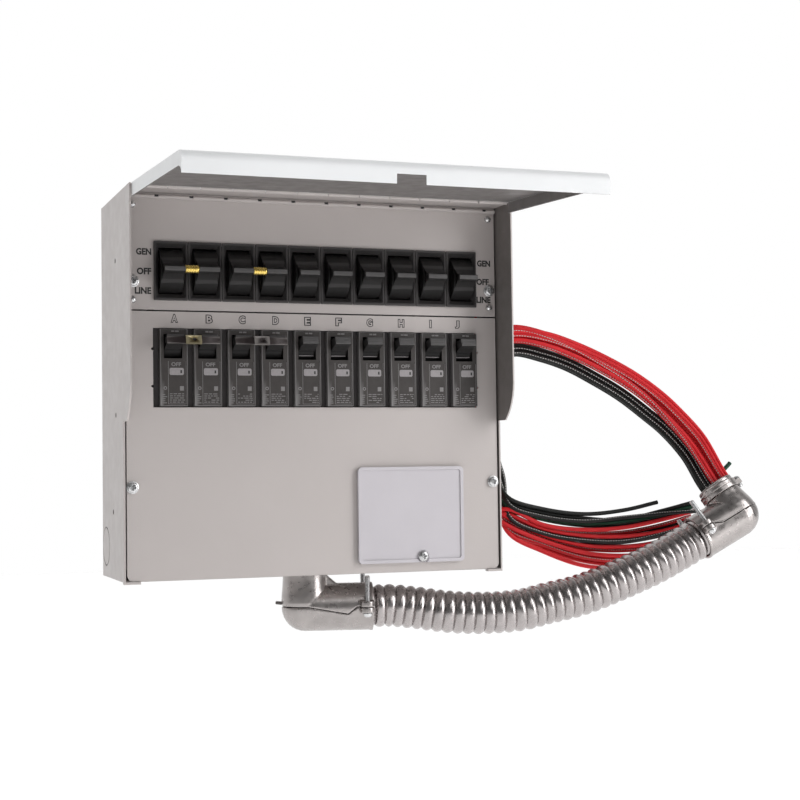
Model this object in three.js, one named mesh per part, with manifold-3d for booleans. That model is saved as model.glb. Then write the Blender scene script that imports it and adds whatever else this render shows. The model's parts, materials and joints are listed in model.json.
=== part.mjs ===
// Manual transfer switch: a wall cabinet with a lift-up lid, ten three-position toggles over ten
// one-inch circuit breakers, a blank inlet plate, and a flexible conduit whip with loose leads.
// Millimetres, +Z up, +Y into the wall. The origin is the centre of the back panel's outer face.
import * as THREE from 'three';
import { mergeVertices } from 'three/addons/utils/BufferGeometryUtils.js';
import Module from 'manifold-3d';

const wasm = await Module();
wasm.setup();

// ---- driving dimensions -----------------------------------------------------------------------
const CABINET_W = 295;
const CABINET_H = 284;
const CABINET_D = 90; // wall to front panels
const EAR_D = 30; // how far the ears and the hood stand in front of the panels
const SHEET = 1.2;
const GAP = 0.3; // between pieces that touch

const CIRCUITS = 'abcdefghij'.split('');
const PITCH = 25.4; // one-inch breakers
const ROW_SHIFT = 2.1; // the row of circuits stands a little right of centre

const SWITCH_Z = 83.5;
const BEZEL_H = 43.4;
const BEZEL_PROUD = 2;
const TOGGLE_PIVOT_Y = -82;
const TOGGLE_R = 17;
const TOGGLE_REACH = 25.3;
const TOGGLE_W = 17.2;
const FIN_W = 14.8;

const WINDOW_TOP = 41.7;
const WINDOW_BOTTOM = -16.2;
const SEAM_Z = 54.4; // between the switch panel and the breaker cover
const SEAM_HALF = 0.55; // half the gap there
const HANDLE_PIVOT_Y = -83.5;
const HANDLE_PIVOT_Z = 28.2;
const HANDLE_R = 8.5;
const HANDLE_REACH = 20;
const HANDLE_W = 12.6;
const HANDLE_ON_ANGLE = 16; // degrees above level
const HANDLE_SHIFT = 0.95; // the handle stands a little right of its breaker's centre
const NOSE = { left: -8.5, right: 11.6, y: -92.8 };

const LID_L = 168.4;
const LID_FLANGE = 9.5;
const LID_LIP = 15;
const LID_OPEN_DIP = 2.7; // degrees below level
const HINGE_Z = CABINET_H / 2 - 1.6;
const KNUCKLE_R = 1.6;
const KNUCKLE_BORE_R = 1;
const HINGE_ROD_R = 0.7;
const KNUCKLES = 12;

const PLATE = { x: 72.1, z: -98.1, w: 85.6, h: 73, corner: 3.4, thick: 3.2 };

const CONDUIT_R = 16.5;
const SOCKET_R = 18.3;
const SOCKET_BORE_R = 17;
const NIPPLE_R = 16.7;
const NIPPLE_BORE_R = 14.3;

const half = { w: CABINET_W / 2, h: CABINET_H / 2 };
const FRONT_Y = -CABINET_D;
const HINGE_Y = FRONT_Y - EAR_D + KNUCKLE_R;
const circuitX = (i) => (i - (CIRCUITS.length - 1) / 2) * PITCH + ROW_SHIFT;
const ROW_LEFT = circuitX(0) - PITCH / 2;
const ROW_RIGHT = circuitX(CIRCUITS.length - 1) + PITCH / 2;

// ---- finishes ---------------------------------------------------------------------------------
const finish = (color, roughness, metalness) => ({ color, roughness, metalness });
const GREY_PAINT = finish(0xb9b3ad, 0.5, 0.1);
const WHITE_PAINT = finish(0xe8e9ea, 0.45, 0);
const ZINC = finish(0xbfc1c4, 0.35, 0.9);
const CAST_ZINC = finish(0x9a9896, 0.4, 0.85);
const BLACK_PLASTIC = finish(0x1d1c1d, 0.45, 0);
const GREY_PLASTIC = finish(0x4b494a, 0.55, 0);
const PALE_PLASTIC = finish(0xc3c3cb, 0.4, 0);
const BRASS = finish(0xc9a646, 0.3, 1);
const RED_PVC = finish(0xc4262b, 0.35, 0);
const BLACK_PVC = finish(0x1c1f1e, 0.35, 0);
const GREEN_PVC = finish(0x1f4a34, 0.35, 0);

// ---- geometry helpers -------------------------------------------------------------------------
function weld(geometry) {
  const bare = geometry.clone();
  bare.deleteAttribute('normal');
  bare.deleteAttribute('uv');
  return mergeVertices(bare, 1e-4);
}

function toSolid(geometry) {
  const g = weld(geometry);
  return new wasm.Manifold(new wasm.Mesh({
    numProp: 3,
    vertProperties: new Float32Array(g.attributes.position.array),
    triVerts: new Uint32Array(g.index.array),
  }));
}

function toGeometry(solid) {
  const mesh = solid.getMesh();
  const g = new THREE.BufferGeometry();
  g.setAttribute('position', new THREE.BufferAttribute(mesh.vertProperties, 3));
  g.setIndex(new THREE.BufferAttribute(mesh.triVerts, 1));
  return g;
}

function join(...geometries) {
  return toGeometry(geometries.map(toSolid).reduce((sum, s) => sum.add(s)));
}

function cut(body, ...tools) {
  return toGeometry(tools.map(toSolid).reduce((rest, t) => rest.subtract(t), toSolid(body)));
}

function common(a, b) {
  return toGeometry(toSolid(a).intersect(toSolid(b)));
}

function box(x0, x1, y0, y1, z0, z1) {
  const g = new THREE.BoxGeometry(x1 - x0, y1 - y0, z1 - z0);
  return g.translate((x0 + x1) / 2, (y0 + y1) / 2, (z0 + z1) / 2);
}

// A cylinder between two values of one axis, centred on the other two.
function rod(axis, r, from, to, centre, sides = 16) {
  const g = new THREE.CylinderGeometry(r, r, to - from, sides);
  if (axis === 'x') g.rotateZ(-Math.PI / 2);
  if (axis === 'z') g.rotateX(Math.PI / 2);
  const middle = (from + to) / 2;
  const [p, q] = centre;
  if (axis === 'x') return g.translate(middle, p, q);
  if (axis === 'y') return g.translate(p, middle, q);
  return g.translate(p, q, middle);
}

function extrude(shape, depth, curveSegments = 6) {
  return new THREE.ExtrudeGeometry(shape, { depth, bevelEnabled: false, curveSegments });
}

// An outline in (y, z), drawn out along x from x0 to x1.
function alongX(shape, x0, x1) {
  const turn = new THREE.Matrix4().set(0, 0, 1, x0, 1, 0, 0, 0, 0, 1, 0, 0, 0, 0, 0, 1);
  return extrude(shape, x1 - x0).applyMatrix4(turn);
}

// An outline in (x, z), drawn out from yBack towards the front.
function towardsFront(shape, yBack, depth, curveSegments = 6) {
  return extrude(shape, depth, curveSegments).rotateX(Math.PI / 2).translate(0, yBack, 0);
}

function roundedRect(cx, cz, w, h, r) {
  const s = new THREE.Shape();
  const [x0, x1, z0, z1] = [cx - w / 2, cx + w / 2, cz - h / 2, cz + h / 2];
  s.moveTo(x0 + r, z0);
  s.lineTo(x1 - r, z0);
  s.absarc(x1 - r, z0 + r, r, -Math.PI / 2, 0);
  s.lineTo(x1, z1 - r);
  s.absarc(x1 - r, z1 - r, r, 0, Math.PI / 2);
  s.lineTo(x0 + r, z1);
  s.absarc(x0 + r, z1 - r, r, Math.PI / 2, Math.PI);
  s.lineTo(x0, z0 + r);
  s.absarc(x0 + r, z0 + r, r, Math.PI, 1.5 * Math.PI);
  return s;
}

function tubeAlong(points, r, sides, steps) {
  const ring = new THREE.Shape();
  ring.absarc(0, 0, r, 0, 2 * Math.PI, false);
  const path = new THREE.CatmullRomCurve3(points.map((p) => new THREE.Vector3(...p)));
  // an arc is drawn with two sides for every curve segment
  const options = { extrudePath: path, steps, bevelEnabled: false, curveSegments: sides / 2 };
  return new THREE.ExtrudeGeometry(ring, options);
}

const group = new THREE.Group();

function addMesh(parent, name, geometry, look) {
  const mesh = new THREE.Mesh(geometry, new THREE.MeshStandardMaterial(look));
  mesh.name = name;
  parent.add(mesh);
  return mesh;
}

// ---- fasteners --------------------------------------------------------------------------------
const SCREW = { head: 4.4, headH: 2.6, washer: 5, washerH: 0.8, shank: 1.9, length: 9 };
const SCREW_HOLE_R = 2.3;
const COVER_SCREWS = { x: 141, z: -74 };
const PANEL_SCREWS = { x: 140, z: 75.4 };
const PLATE_SCREW = { x: 81.2, z: -130 };

// A hex-washer screw whose washer lies on the plane y = seat and whose shank goes back into it.
function screwGeometry(x, z, seat, scale = 1) {
  const { head, headH, washer, washerH, shank, length } = SCREW;
  const at = [x, z];
  return join(
    rod('y', washer * scale, seat - washerH, seat, at, 20),
    rod('y', head * scale, seat - washerH - headH, seat - washerH / 2, at, 6),
    rod('y', shank, seat - washerH / 2, seat + length, at, 10),
  );
}

// ---- cabinet ----------------------------------------------------------------------------------
const KNOCKOUT = { x: 1, y: -45, r: NIPPLE_R + 0.5 };
const MOUNT_HOLES = { x: 110, z: 112, r: 3 };
const EAR_STRAIGHT_Z = 3;
const EAR_BOTTOM_Z = -26.5;
const EAR_BOTTOM_D = 14;

function sideWall(x0) {
  const s = new THREE.Shape();
  s.moveTo(0, -half.h);
  s.lineTo(0, half.h);
  s.lineTo(FRONT_Y - EAR_D, half.h);
  s.lineTo(FRONT_Y - EAR_D, EAR_STRAIGHT_Z);
  s.quadraticCurveTo(FRONT_Y - EAR_D, -15, FRONT_Y - EAR_BOTTOM_D, EAR_BOTTOM_Z);
  s.lineTo(FRONT_Y - 1.5, EAR_BOTTOM_Z);
  s.lineTo(FRONT_Y - 1.5, -half.h);
  return alongX(s, x0, x0 + SHEET);
}

// One hinge knuckle, a sleeve around the hinge axis with a web to the sheet on one side of it.
function knuckle(x0, x1, axisY, axisZ, webY) {
  const sleeve = rod('x', KNUCKLE_R, x0, x1, [axisY, axisZ], 12);
  const top = axisZ + KNUCKLE_R;
  const web = box(x0, x1, Math.min(webY, axisY), Math.max(webY, axisY), top - SHEET, top);
  return [sleeve, web];
}

function knuckleSpans(offset) {
  const run = CABINET_W - 2 * SHEET - 4;
  const step = run / KNUCKLES;
  const spans = [];
  for (let i = offset; i < KNUCKLES; i += 2) {
    spans.push([-run / 2 + i * step + 0.4, -run / 2 + (i + 1) * step - 0.4]);
  }
  return spans;
}

function cabinetShell() {
  const inX = half.w - SHEET;
  const hoodFront = HINGE_Y + KNUCKLE_R + 0.4;
  const pieces = [
    sideWall(-half.w),
    sideWall(inX),
    box(-inX - 0.5, inX + 0.5, -SHEET, 0, -half.h, half.h),
    box(-inX - 0.5, inX + 0.5, hoodFront, 0, half.h - SHEET, half.h),
    box(-inX - 0.5, inX + 0.5, FRONT_Y + SHEET + 0.6, 0, -half.h, -half.h + SHEET),
  ];
  for (const side of [-1, 1]) {
    // a foot under each bottom corner of the cover, and lugs behind the cover's and panel's screws
    const foot = [side * (half.w - 12), side * half.w].sort((a, b) => a - b);
    pieces.push(box(...foot, FRONT_Y - 1.5, FRONT_Y + 4, -half.h - 1.6, -half.h + 0.2));
    for (const { x, z } of [COVER_SCREWS, PANEL_SCREWS]) {
      const lug = [side * (x - 7), side * (half.w - SHEET / 2)].sort((a, b) => a - b);
      const ring = box(...lug, FRONT_Y + 3.5, FRONT_Y + 4.7, z - 6, z + 6);
      pieces.push(cut(ring, rod('y', SCREW_HOLE_R, FRONT_Y, FRONT_Y + 9, [side * x, z], 12)));
    }
  }
  for (const [x0, x1] of knuckleSpans(0)) {
    pieces.push(...knuckle(x0, x1, HINGE_Y, HINGE_Z, hoodFront + 1));
  }
  const tools = [rod('x', KNUCKLE_BORE_R, -inX + 0.2, inX - 0.2, [HINGE_Y, HINGE_Z], 12)];
  tools.push(rod('z', KNOCKOUT.r, -half.h - 5, -half.h + 5, [KNOCKOUT.x, KNOCKOUT.y], 32));
  for (const side of [-1, 1]) {
    for (const z of [-MOUNT_HOLES.z, MOUNT_HOLES.z]) {
      tools.push(rod('y', MOUNT_HOLES.r, -5, 5, [side * MOUNT_HOLES.x, z], 12));
    }
  }
  return cut(join(...pieces), ...tools);
}

function switchPanel() {
  const x = half.w - SHEET - GAP;
  const top = half.h - SHEET - 2.6;
  const shape = new THREE.Shape();
  shape.moveTo(-x, SEAM_Z + SEAM_HALF);
  shape.lineTo(x, SEAM_Z + SEAM_HALF);
  shape.lineTo(x, top);
  shape.lineTo(-x, top);
  shape.holes.push(roundedRect(ROW_SHIFT, SWITCH_Z, ROW_RIGHT - ROW_LEFT - 2.4, BEZEL_H - 3, 0.5));
  for (const side of [-1, 1]) {
    const hole = new THREE.Path();
    hole.absarc(side * PANEL_SCREWS.x, PANEL_SCREWS.z, SCREW_HOLE_R, 0, 2 * Math.PI);
    shape.holes.push(hole);
  }
  const pieces = [towardsFront(shape, FRONT_Y + SHEET, SHEET, 4)];
  // the rolled top edge, notched at every inch, and the rivets beside the row
  const hem = rod('x', 1.6, -x, x, [FRONT_Y - 0.9, top - 0.6], 12);
  const notches = [];
  for (let i = 0; i <= 10; i += 1) {
    const at = (i - 5) * 25.9 + 7;
    notches.push(box(at - 1.6, at + 1.6, FRONT_Y - 4, FRONT_Y - 0.6, top - 1, top + 2));
  }
  pieces.push(cut(hem, ...notches));
  for (const side of [-1, 1]) {
    for (const z of [62, 131.6]) {
      pieces.push(rod('y', 2.4, FRONT_Y - 1.3, FRONT_Y + 0.5, [side * 140, z], 12));
    }
  }
  return join(...pieces);
}

function breakerCover() {
  const x = half.w - SHEET - GAP;
  const bottom = -half.h + 0.5;
  const shape = new THREE.Shape();
  shape.moveTo(-x + 5, bottom);
  shape.lineTo(x - 5, bottom);
  shape.absarc(x - 5, bottom + 5, 5, -Math.PI / 2, 0);
  shape.lineTo(x, SEAM_Z - SEAM_HALF);
  shape.lineTo(-x, SEAM_Z - SEAM_HALF);
  shape.lineTo(-x, bottom + 5);
  shape.absarc(-x + 5, bottom + 5, 5, Math.PI, 1.5 * Math.PI);
  const window = new THREE.Path();
  window.moveTo(ROW_LEFT - 0.5, WINDOW_BOTTOM);
  window.lineTo(ROW_RIGHT - 0.5, WINDOW_BOTTOM);
  for (const z of [-0.8, 26.5]) {
    window.lineTo(ROW_RIGHT - 0.5, z - 1.2);
    window.lineTo(ROW_RIGHT + 0.9, z - 0.6);
    window.lineTo(ROW_RIGHT + 0.9, z + 0.6);
    window.lineTo(ROW_RIGHT - 0.5, z + 1.2);
  }
  window.lineTo(ROW_RIGHT - 0.5, WINDOW_TOP);
  window.lineTo(ROW_LEFT - 0.5, WINDOW_TOP);
  for (const z of [26.5, -0.8]) {
    window.lineTo(ROW_LEFT - 0.5, z + 1.2);
    window.lineTo(ROW_LEFT - 1.9, z + 0.6);
    window.lineTo(ROW_LEFT - 1.9, z - 0.6);
    window.lineTo(ROW_LEFT - 0.5, z - 1.2);
  }
  shape.holes.push(window);
  const holes = [-1, 1].map((side) => [side * COVER_SCREWS.x, COVER_SCREWS.z, SCREW_HOLE_R]);
  holes.push([PLATE_SCREW.x, PLATE_SCREW.z, SCREW_HOLE_R], [PLATE.x, PLATE.z + 5, 27]);
  for (const [hx, hz, r] of holes) {
    const hole = new THREE.Path();
    hole.absarc(hx, hz, r, 0, 2 * Math.PI);
    shape.holes.push(hole);
  }
  const returns = [-1, 1].map((side) => {
    const wall = [side * (x - SHEET), side * x].sort((a, b) => a - b);
    return box(...wall, FRONT_Y + 0.4, FRONT_Y + 3, bottom + 6, SEAM_Z - SEAM_HALF);
  });
  return join(towardsFront(shape, FRONT_Y + SHEET, SHEET), ...returns);
}

function inletPlate() {
  const { x, z, w, h, corner, thick } = PLATE;
  const back = FRONT_Y - GAP;
  const base = towardsFront(roundedRect(x, z, w, h, corner), back, thick - 0.9);
  const rim = roundedRect(x, z, w, h, corner);
  rim.holes.push(roundedRect(x, z, w - 5, h - 5, corner - 1.4));
  const raised = towardsFront(rim, back - thick + 1.2, 1.2);
  const at = [PLATE_SCREW.x, PLATE_SCREW.z];
  const pocket = rod('y', 5.2, back - thick - 1, back - thick + 0.9, at, 20);
  const hole = rod('y', SCREW_HOLE_R, back - thick - 1, back + 1, at, 12);
  return cut(join(base, raised), pocket, hole);
}

addMesh(group, 'cabinet_shell', cabinetShell(), GREY_PAINT);
addMesh(group, 'switch_panel', switchPanel(), GREY_PAINT);
addMesh(group, 'breaker_cover', breakerCover(), GREY_PAINT);
addMesh(group, 'inlet_cover_plate', inletPlate(), PALE_PLASTIC);
const plateSeat = FRONT_Y - GAP - PLATE.thick + 0.9 - GAP;
addMesh(group, 'plate_screw', screwGeometry(PLATE_SCREW.x, PLATE_SCREW.z, plateSeat, 0.88), ZINC);
for (const [side, word] of [[-1, 'left'], [1, 'right']]) {
  const cover = screwGeometry(side * COVER_SCREWS.x, COVER_SCREWS.z, FRONT_Y - GAP, 0.9);
  const panel = screwGeometry(side * PANEL_SCREWS.x, PANEL_SCREWS.z, FRONT_Y - GAP, 0.9);
  addMesh(group, `cover_screw_${word}`, cover, ZINC);
  addMesh(group, `panel_screw_${word}`, panel, ZINC);
}

// ---- lid --------------------------------------------------------------------------------------
// Drawn level about the hinge axis, with its free edge towards -Y, then tipped to where it stands.
const lidGroup = new THREE.Group();
lidGroup.position.set(0, HINGE_Y, HINGE_Z);
lidGroup.rotation.x = THREE.MathUtils.degToRad(LID_OPEN_DIP);
group.add(lidGroup);

function lidGeometry() {
  const x = half.w - SHEET - 0.4;
  const rear = -KNUCKLE_R - 0.4;
  const bottom = KNUCKLE_R - LID_FLANGE;
  const outline = new THREE.Shape();
  const bend = 3;
  outline.moveTo(rear, KNUCKLE_R);
  outline.lineTo(-LID_L + bend, KNUCKLE_R);
  outline.absarc(-LID_L + bend, KNUCKLE_R - bend, bend, Math.PI / 2, Math.PI);
  outline.lineTo(-LID_L, KNUCKLE_R - LID_LIP);
  outline.lineTo(-LID_L + SHEET, KNUCKLE_R - LID_LIP);
  outline.lineTo(-LID_L + SHEET, KNUCKLE_R - bend);
  outline.absarc(-LID_L + bend, KNUCKLE_R - bend, bend - SHEET, Math.PI, Math.PI / 2, true);
  outline.lineTo(rear, KNUCKLE_R - SHEET);
  const sheet = alongX(outline, -x, x);
  const flange = new THREE.Shape();
  flange.moveTo(rear, KNUCKLE_R - 0.4);
  flange.lineTo(-LID_L + bend, KNUCKLE_R - 0.4);
  flange.lineTo(-LID_L + 0.5, KNUCKLE_R - bend);
  flange.lineTo(-LID_L + 0.5, KNUCKLE_R - LID_LIP);
  flange.quadraticCurveTo(-LID_L + 2, bottom, -LID_L + 12, bottom);
  flange.lineTo(rear, bottom);
  const pieces = [sheet, alongX(flange, -x, -x + SHEET), alongX(flange, x - SHEET, x)];
  for (const [x0, x1] of knuckleSpans(1)) pieces.push(...knuckle(x0, x1, 0, 0, rear - 1));
  const finger = box(-6.5, 13.7, -LID_L - 1, -LID_L + SHEET + 1, KNUCKLE_R - LID_LIP - 1, KNUCKLE_R - 8.6);
  const bore = rod('x', KNUCKLE_BORE_R, -x, x, [0, 0], 12);
  return cut(join(...pieces), finger, bore);
}

addMesh(lidGroup, 'lid', lidGeometry(), WHITE_PAINT);
const rodHalf = half.w - SHEET - 2.3;
const hingeRod = rod('x', HINGE_ROD_R, -rodHalf, rodHalf, [HINGE_Y, HINGE_Z], 8);
addMesh(group, 'lid_hinge_rod', hingeRod, ZINC);

// ---- toggles and breaker handles --------------------------------------------------------------
// A drum with a fin, seen along x and centred on its pivot: the fin points to -Y.
function finnedDrum(drumR, reach, rootHalf, tipHalf, drumW, finW, sides) {
  const drum = rod('x', drumR, -drumW / 2, drumW / 2, [0, 0], sides);
  const fin = new THREE.Shape();
  fin.moveTo(-drumR + 4, -rootHalf - 1);
  fin.lineTo(-drumR + 4, rootHalf + 1);
  fin.lineTo(-drumR - 1, rootHalf);
  fin.lineTo(-reach + 1, tipHalf);
  fin.quadraticCurveTo(-reach, tipHalf, -reach, tipHalf - 1);
  fin.lineTo(-reach, -tipHalf + 1);
  fin.quadraticCurveTo(-reach, -tipHalf, -reach + 1, -tipHalf);
  fin.lineTo(-drumR - 1, -rootHalf);
  const cap = alongX(fin, -finW / 2, finW / 2);
  return join(drum, cap);
}

function switchBank() {
  const y = FRONT_Y - GAP;
  const flange = towardsFront(
    roundedRect(ROW_SHIFT, SWITCH_Z, ROW_RIGHT - ROW_LEFT, BEZEL_H, 1), y, BEZEL_PROUD - GAP);
  const reach = BEZEL_H / 2 - 2;
  const body = box(ROW_LEFT + 1.6, ROW_RIGHT - 1.6, y - 0.2, -56, SWITCH_Z - reach, SWITCH_Z + reach);
  const cavities = CIRCUITS.map((_, i) => {
    const x = circuitX(i);
    return box(x - 9.3, x + 9.3, -95, -62, SWITCH_Z - 18, SWITCH_Z + 18);
  });
  const grooves = CIRCUITS.slice(1).map((_, i) => {
    const x = circuitX(i) + PITCH / 2;
    return box(x - 0.3, x + 0.3, -95, FRONT_Y - 0.8, SWITCH_Z - 30, SWITCH_Z + 30);
  });
  return cut(join(flange, body), ...cavities, ...grooves);
}

addMesh(group, 'switch_bank', switchBank(), BLACK_PLASTIC);

const toggle = finnedDrum(TOGGLE_R, TOGGLE_REACH, 3.8, 2.8, TOGGLE_W, FIN_W, 24);
CIRCUITS.forEach((letter, i) => {
  const mesh = addMesh(group, `toggle_${letter}`, toggle, BLACK_PLASTIC);
  mesh.position.set(circuitX(i), TOGGLE_PIVOT_Y, SWITCH_Z);
});

const TIE_PIN = { r: 3.1, reach: 22.4 };
for (const first of [0, 2]) {
  const name = CIRCUITS[first] + CIRCUITS[first + 1];
  const x0 = circuitX(first) + FIN_W / 2 + GAP;
  const x1 = circuitX(first + 1) - FIN_W / 2 - GAP;
  const pin = rod('x', TIE_PIN.r, x0, x1, [TOGGLE_PIVOT_Y - TIE_PIN.reach, SWITCH_Z], 14);
  addMesh(group, `toggle_tie_pin_${name}`, pin, BRASS);
}

function breakerCase() {
  const shoulder = box(-12.4, 12.4, -86.5, -29.8, -29, 57);
  const nose = box(NOSE.left, NOSE.right, NOSE.y, -85, WINDOW_BOTTOM + 0.9, WINDOW_TOP - 0.8);
  const slot = box(HANDLE_SHIFT - 6.8, HANDLE_SHIFT + 6.8, -95, HANDLE_PIVOT_Y + HANDLE_R + 0.6,
    HANDLE_PIVOT_Z - HANDLE_R - 0.5, HANDLE_PIVOT_Z + HANDLE_R + 0.5);
  return cut(join(shoulder, nose), slot);
}

const breaker = breakerCase();
const handle = finnedDrum(HANDLE_R, HANDLE_REACH, 3, 3.4, HANDLE_W, 12, 16)
  .rotateX(THREE.MathUtils.degToRad(-HANDLE_ON_ANGLE));
CIRCUITS.forEach((letter, i) => {
  addMesh(group, `breaker_${letter}`, breaker, GREY_PLASTIC).position.set(circuitX(i), 0, 0);
  const mesh = addMesh(group, `breaker_handle_${letter}`, handle, BLACK_PLASTIC);
  mesh.position.set(circuitX(i) + HANDLE_SHIFT, HANDLE_PIVOT_Y, HANDLE_PIVOT_Z);
});

const TIE_DROP = 2; // how far the tie bars sit below the middle of the handles' tips
for (const first of [0, 2]) {
  const x = (circuitX(first) + circuitX(first + 1)) / 2 + HANDLE_SHIFT;
  const reach = HANDLE_REACH + GAP;
  const bar = box(-19.5, 19.5, -reach - 1.4, -reach, -2.6 - TIE_DROP, 2.6 - TIE_DROP);
  const clip = box(-5.8, 5.8, -reach - 2.2, -reach - 1, -3.2 - TIE_DROP, 3.2 - TIE_DROP);
  const tie = join(bar, clip).rotateX(THREE.MathUtils.degToRad(-HANDLE_ON_ANGLE));
  const name = `handle_tie_${CIRCUITS[first]}${CIRCUITS[first + 1]}`;
  addMesh(group, name, tie, first ? ZINC : BRASS).position.set(x, HANDLE_PIVOT_Y, HANDLE_PIVOT_Z);
}

// ---- inside the cabinet -----------------------------------------------------------------------
function breakerRail() {
  const s = new THREE.Shape();
  const profile = [[-1.5, -24], [-1.5, -10], [-27, -10], [-27, 34], [-1.5, 34], [-1.5, 48],
    [-2.7, 48], [-2.7, 35.2], [-28.4, 35.2], [-28.4, -11.2], [-2.7, -11.2], [-2.7, -24]];
  profile.forEach(([y, z], i) => (i ? s.lineTo(y, z) : s.moveTo(y, z)));
  return alongX(s, ROW_LEFT, ROW_RIGHT);
}

function groundBar() {
  const bar = box(-130, -60, -15, -6, -118, -109);
  const feet = [-126, -64].map((x) => box(x - 3, x + 3, -7, -1.6, -117, -110));
  const holes = [0, 1, 2, 3, 4, 5].map((i) => rod('z', 2, -125, -100, [-122 + i * 11, -11], 10));
  return cut(join(bar, ...feet), ...holes);
}

addMesh(group, 'breaker_rail', breakerRail(), ZINC);
addMesh(group, 'ground_bar', groundBar(), BRASS);
const HARNESS_ROUTE = [
  [129, -66, 88], [133, -66, 87.4], [137, -65, 80], [138, -61, 60], [138, -60, 20],
  [138, -60, -30], [136, -58, -70], [120, -54, -98], [90, -50, -108], [50, -47, -110],
  [20, -45, -108], [5, -45, -112], [0, -45, -120],
];
addMesh(group, 'internal_leads', tubeAlong(HARNESS_ROUTE, 4, 8, 40), RED_PVC);

// ---- right-angle squeeze connectors -----------------------------------------------------------
// Local axes: the neck points to +Z, the conduit socket to +X, and the corner is the origin.
const CORNER_R = 14;
const LUG = { inset: 5.5, halfW: 5.5, out: 26.5, screwY: SOCKET_R + 4.2, halfH: 4.5, hole: 2.4 };
const CLAMP_SCREW = { head: 3.6, headH: 3, shank: 2, top: 25 };
const CAP_SPLIT_Z = 1;
const NECK_RIM = { step: 0.8, h: 2.5 };
const RIVET = { r: 1.7, from: -22.5, to: -14, z: 3.2 };

// The neck narrows from the corner to a low rim. The nipple is what stands out past the rim.
function elbowHousing({ neck: neckL, nipple: nippleL, socket: socketL, rimR, nippleR }) {
  const neck = new THREE.LatheGeometry([
    [0, -8], [14, -8], [17.6, -1], [18.4, 4], [rimR - NECK_RIM.step, neckL - NECK_RIM.h],
    [rimR, neckL - NECK_RIM.h], [rimR, neckL], [nippleR, neckL],
    [nippleR, neckL + nippleL], [0, neckL + nippleL],
  ].map(([r, z]) => new THREE.Vector2(r, z)), 32).rotateX(Math.PI / 2);
  const corner = new THREE.SphereGeometry(SOCKET_R, 24, 16);
  const outside = join(neck, corner, rod('x', SOCKET_R, -1, socketL, [0, 0], 32));
  const lugs = [-1, 1].map((side) => {
    const [y0, y1] = [side * (SOCKET_R - 2), side * LUG.out].sort((a, b) => a - b);
    const x = socketL - LUG.inset;
    const [z0, z1] = [CAP_SPLIT_Z - LUG.halfH, CAP_SPLIT_Z + LUG.halfH];
    const lug = box(x - LUG.halfW, x + LUG.halfW, y0, y1, z0, z1);
    return cut(lug, rod('z', LUG.hole, -9, 9, [x, side * LUG.screwY], 12));
  });
  const rivet = rod('x', RIVET.r, RIVET.from, RIVET.to, [0, RIVET.z], 10);
  return cut(
    join(outside, rivet, ...lugs),
    new THREE.SphereGeometry(CORNER_R, 20, 12),
    rod('z', NIPPLE_BORE_R, 0, neckL + nippleL + 1, [0, 0], 28),
    rod('x', NIPPLE_BORE_R, 0, 15, [0, 0], 28),
    rod('x', SOCKET_BORE_R, 13, socketL + 1, [0, 0], 32),
  );
}

const BIG = 90;
const splitAbove = box(-BIG, BIG, -BIG, BIG, CAP_SPLIT_Z + GAP / 2, BIG);
const splitBelow = box(-BIG, BIG, -BIG, BIG, -BIG, CAP_SPLIT_Z - GAP / 2);

// screwSide is the side of the socket that the clamp screw is on. Its head is under the cap's lug.
function addElbow(parent, prefix, shape, screwSide) {
  const housing = elbowHousing(shape);
  addMesh(parent, `${prefix}_elbow_body`, common(housing, splitAbove), CAST_ZINC);
  addMesh(parent, `${prefix}_elbow_cap`, common(housing, splitBelow), CAST_ZINC);
  const at = [shape.socket - LUG.inset, screwSide * LUG.screwY];
  const seat = CAP_SPLIT_Z - LUG.halfH - GAP;
  const { head, headH, shank, top } = CLAMP_SCREW;
  const screw = join(rod('z', head, seat - headH, seat, at, 16), rod('z', shank, seat - 1, top, at, 10));
  addMesh(parent, `${prefix}_clamp_screw`, screw, ZINC);
}

const LOWER_ELBOW = {
  neck: 27, nipple: 14, socket: 52, rimR: 17.6, nippleR: NIPPLE_R, turn: -14,
};
LOWER_ELBOW.z = -half.h - GAP - LOWER_ELBOW.neck;
const lowerElbow = new THREE.Group();
lowerElbow.position.set(KNOCKOUT.x, KNOCKOUT.y, LOWER_ELBOW.z);
lowerElbow.rotation.z = THREE.MathUtils.degToRad(LOWER_ELBOW.turn);
group.add(lowerElbow);
addElbow(lowerElbow, 'lower', LOWER_ELBOW, -1);

function locknut() {
  const ring = new THREE.Shape();
  const teeth = 10;
  for (let i = 0; i < teeth * 4; i += 1) {
    const angle = (i / (teeth * 4)) * 2 * Math.PI;
    const r = i % 4 < 2 ? 23 : 20.6;
    if (i === 0) ring.moveTo(r, 0);
    else ring.lineTo(r * Math.cos(angle), r * Math.sin(angle));
  }
  const bore = new THREE.Path();
  bore.absarc(0, 0, NIPPLE_R + GAP + 0.2, 0, 2 * Math.PI);
  ring.holes.push(bore);
  return extrude(ring, 3.5, 12);
}

const nut = addMesh(group, 'lower_locknut', locknut(), ZINC);
nut.position.set(KNOCKOUT.x, KNOCKOUT.y, -half.h + SHEET + GAP);

// The far connector hangs on the conduit's end: its socket faces back along the conduit, its neck
// is square to that.
const UPPER_ELBOW = { neck: 21, nipple: 9, socket: 40.5, rimR: 16.8, nippleR: 15.4 };
const arrival = new THREE.Vector3(0.885, -0.052, 0.461).normalize();
const neckUp = new THREE.Vector3(-0.393, 0.443, 0.806);
neckUp.addScaledVector(arrival, -neckUp.dot(arrival)).normalize();
const backAlong = arrival.clone().negate();
const across = new THREE.Vector3().crossVectors(neckUp, backAlong);

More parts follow.
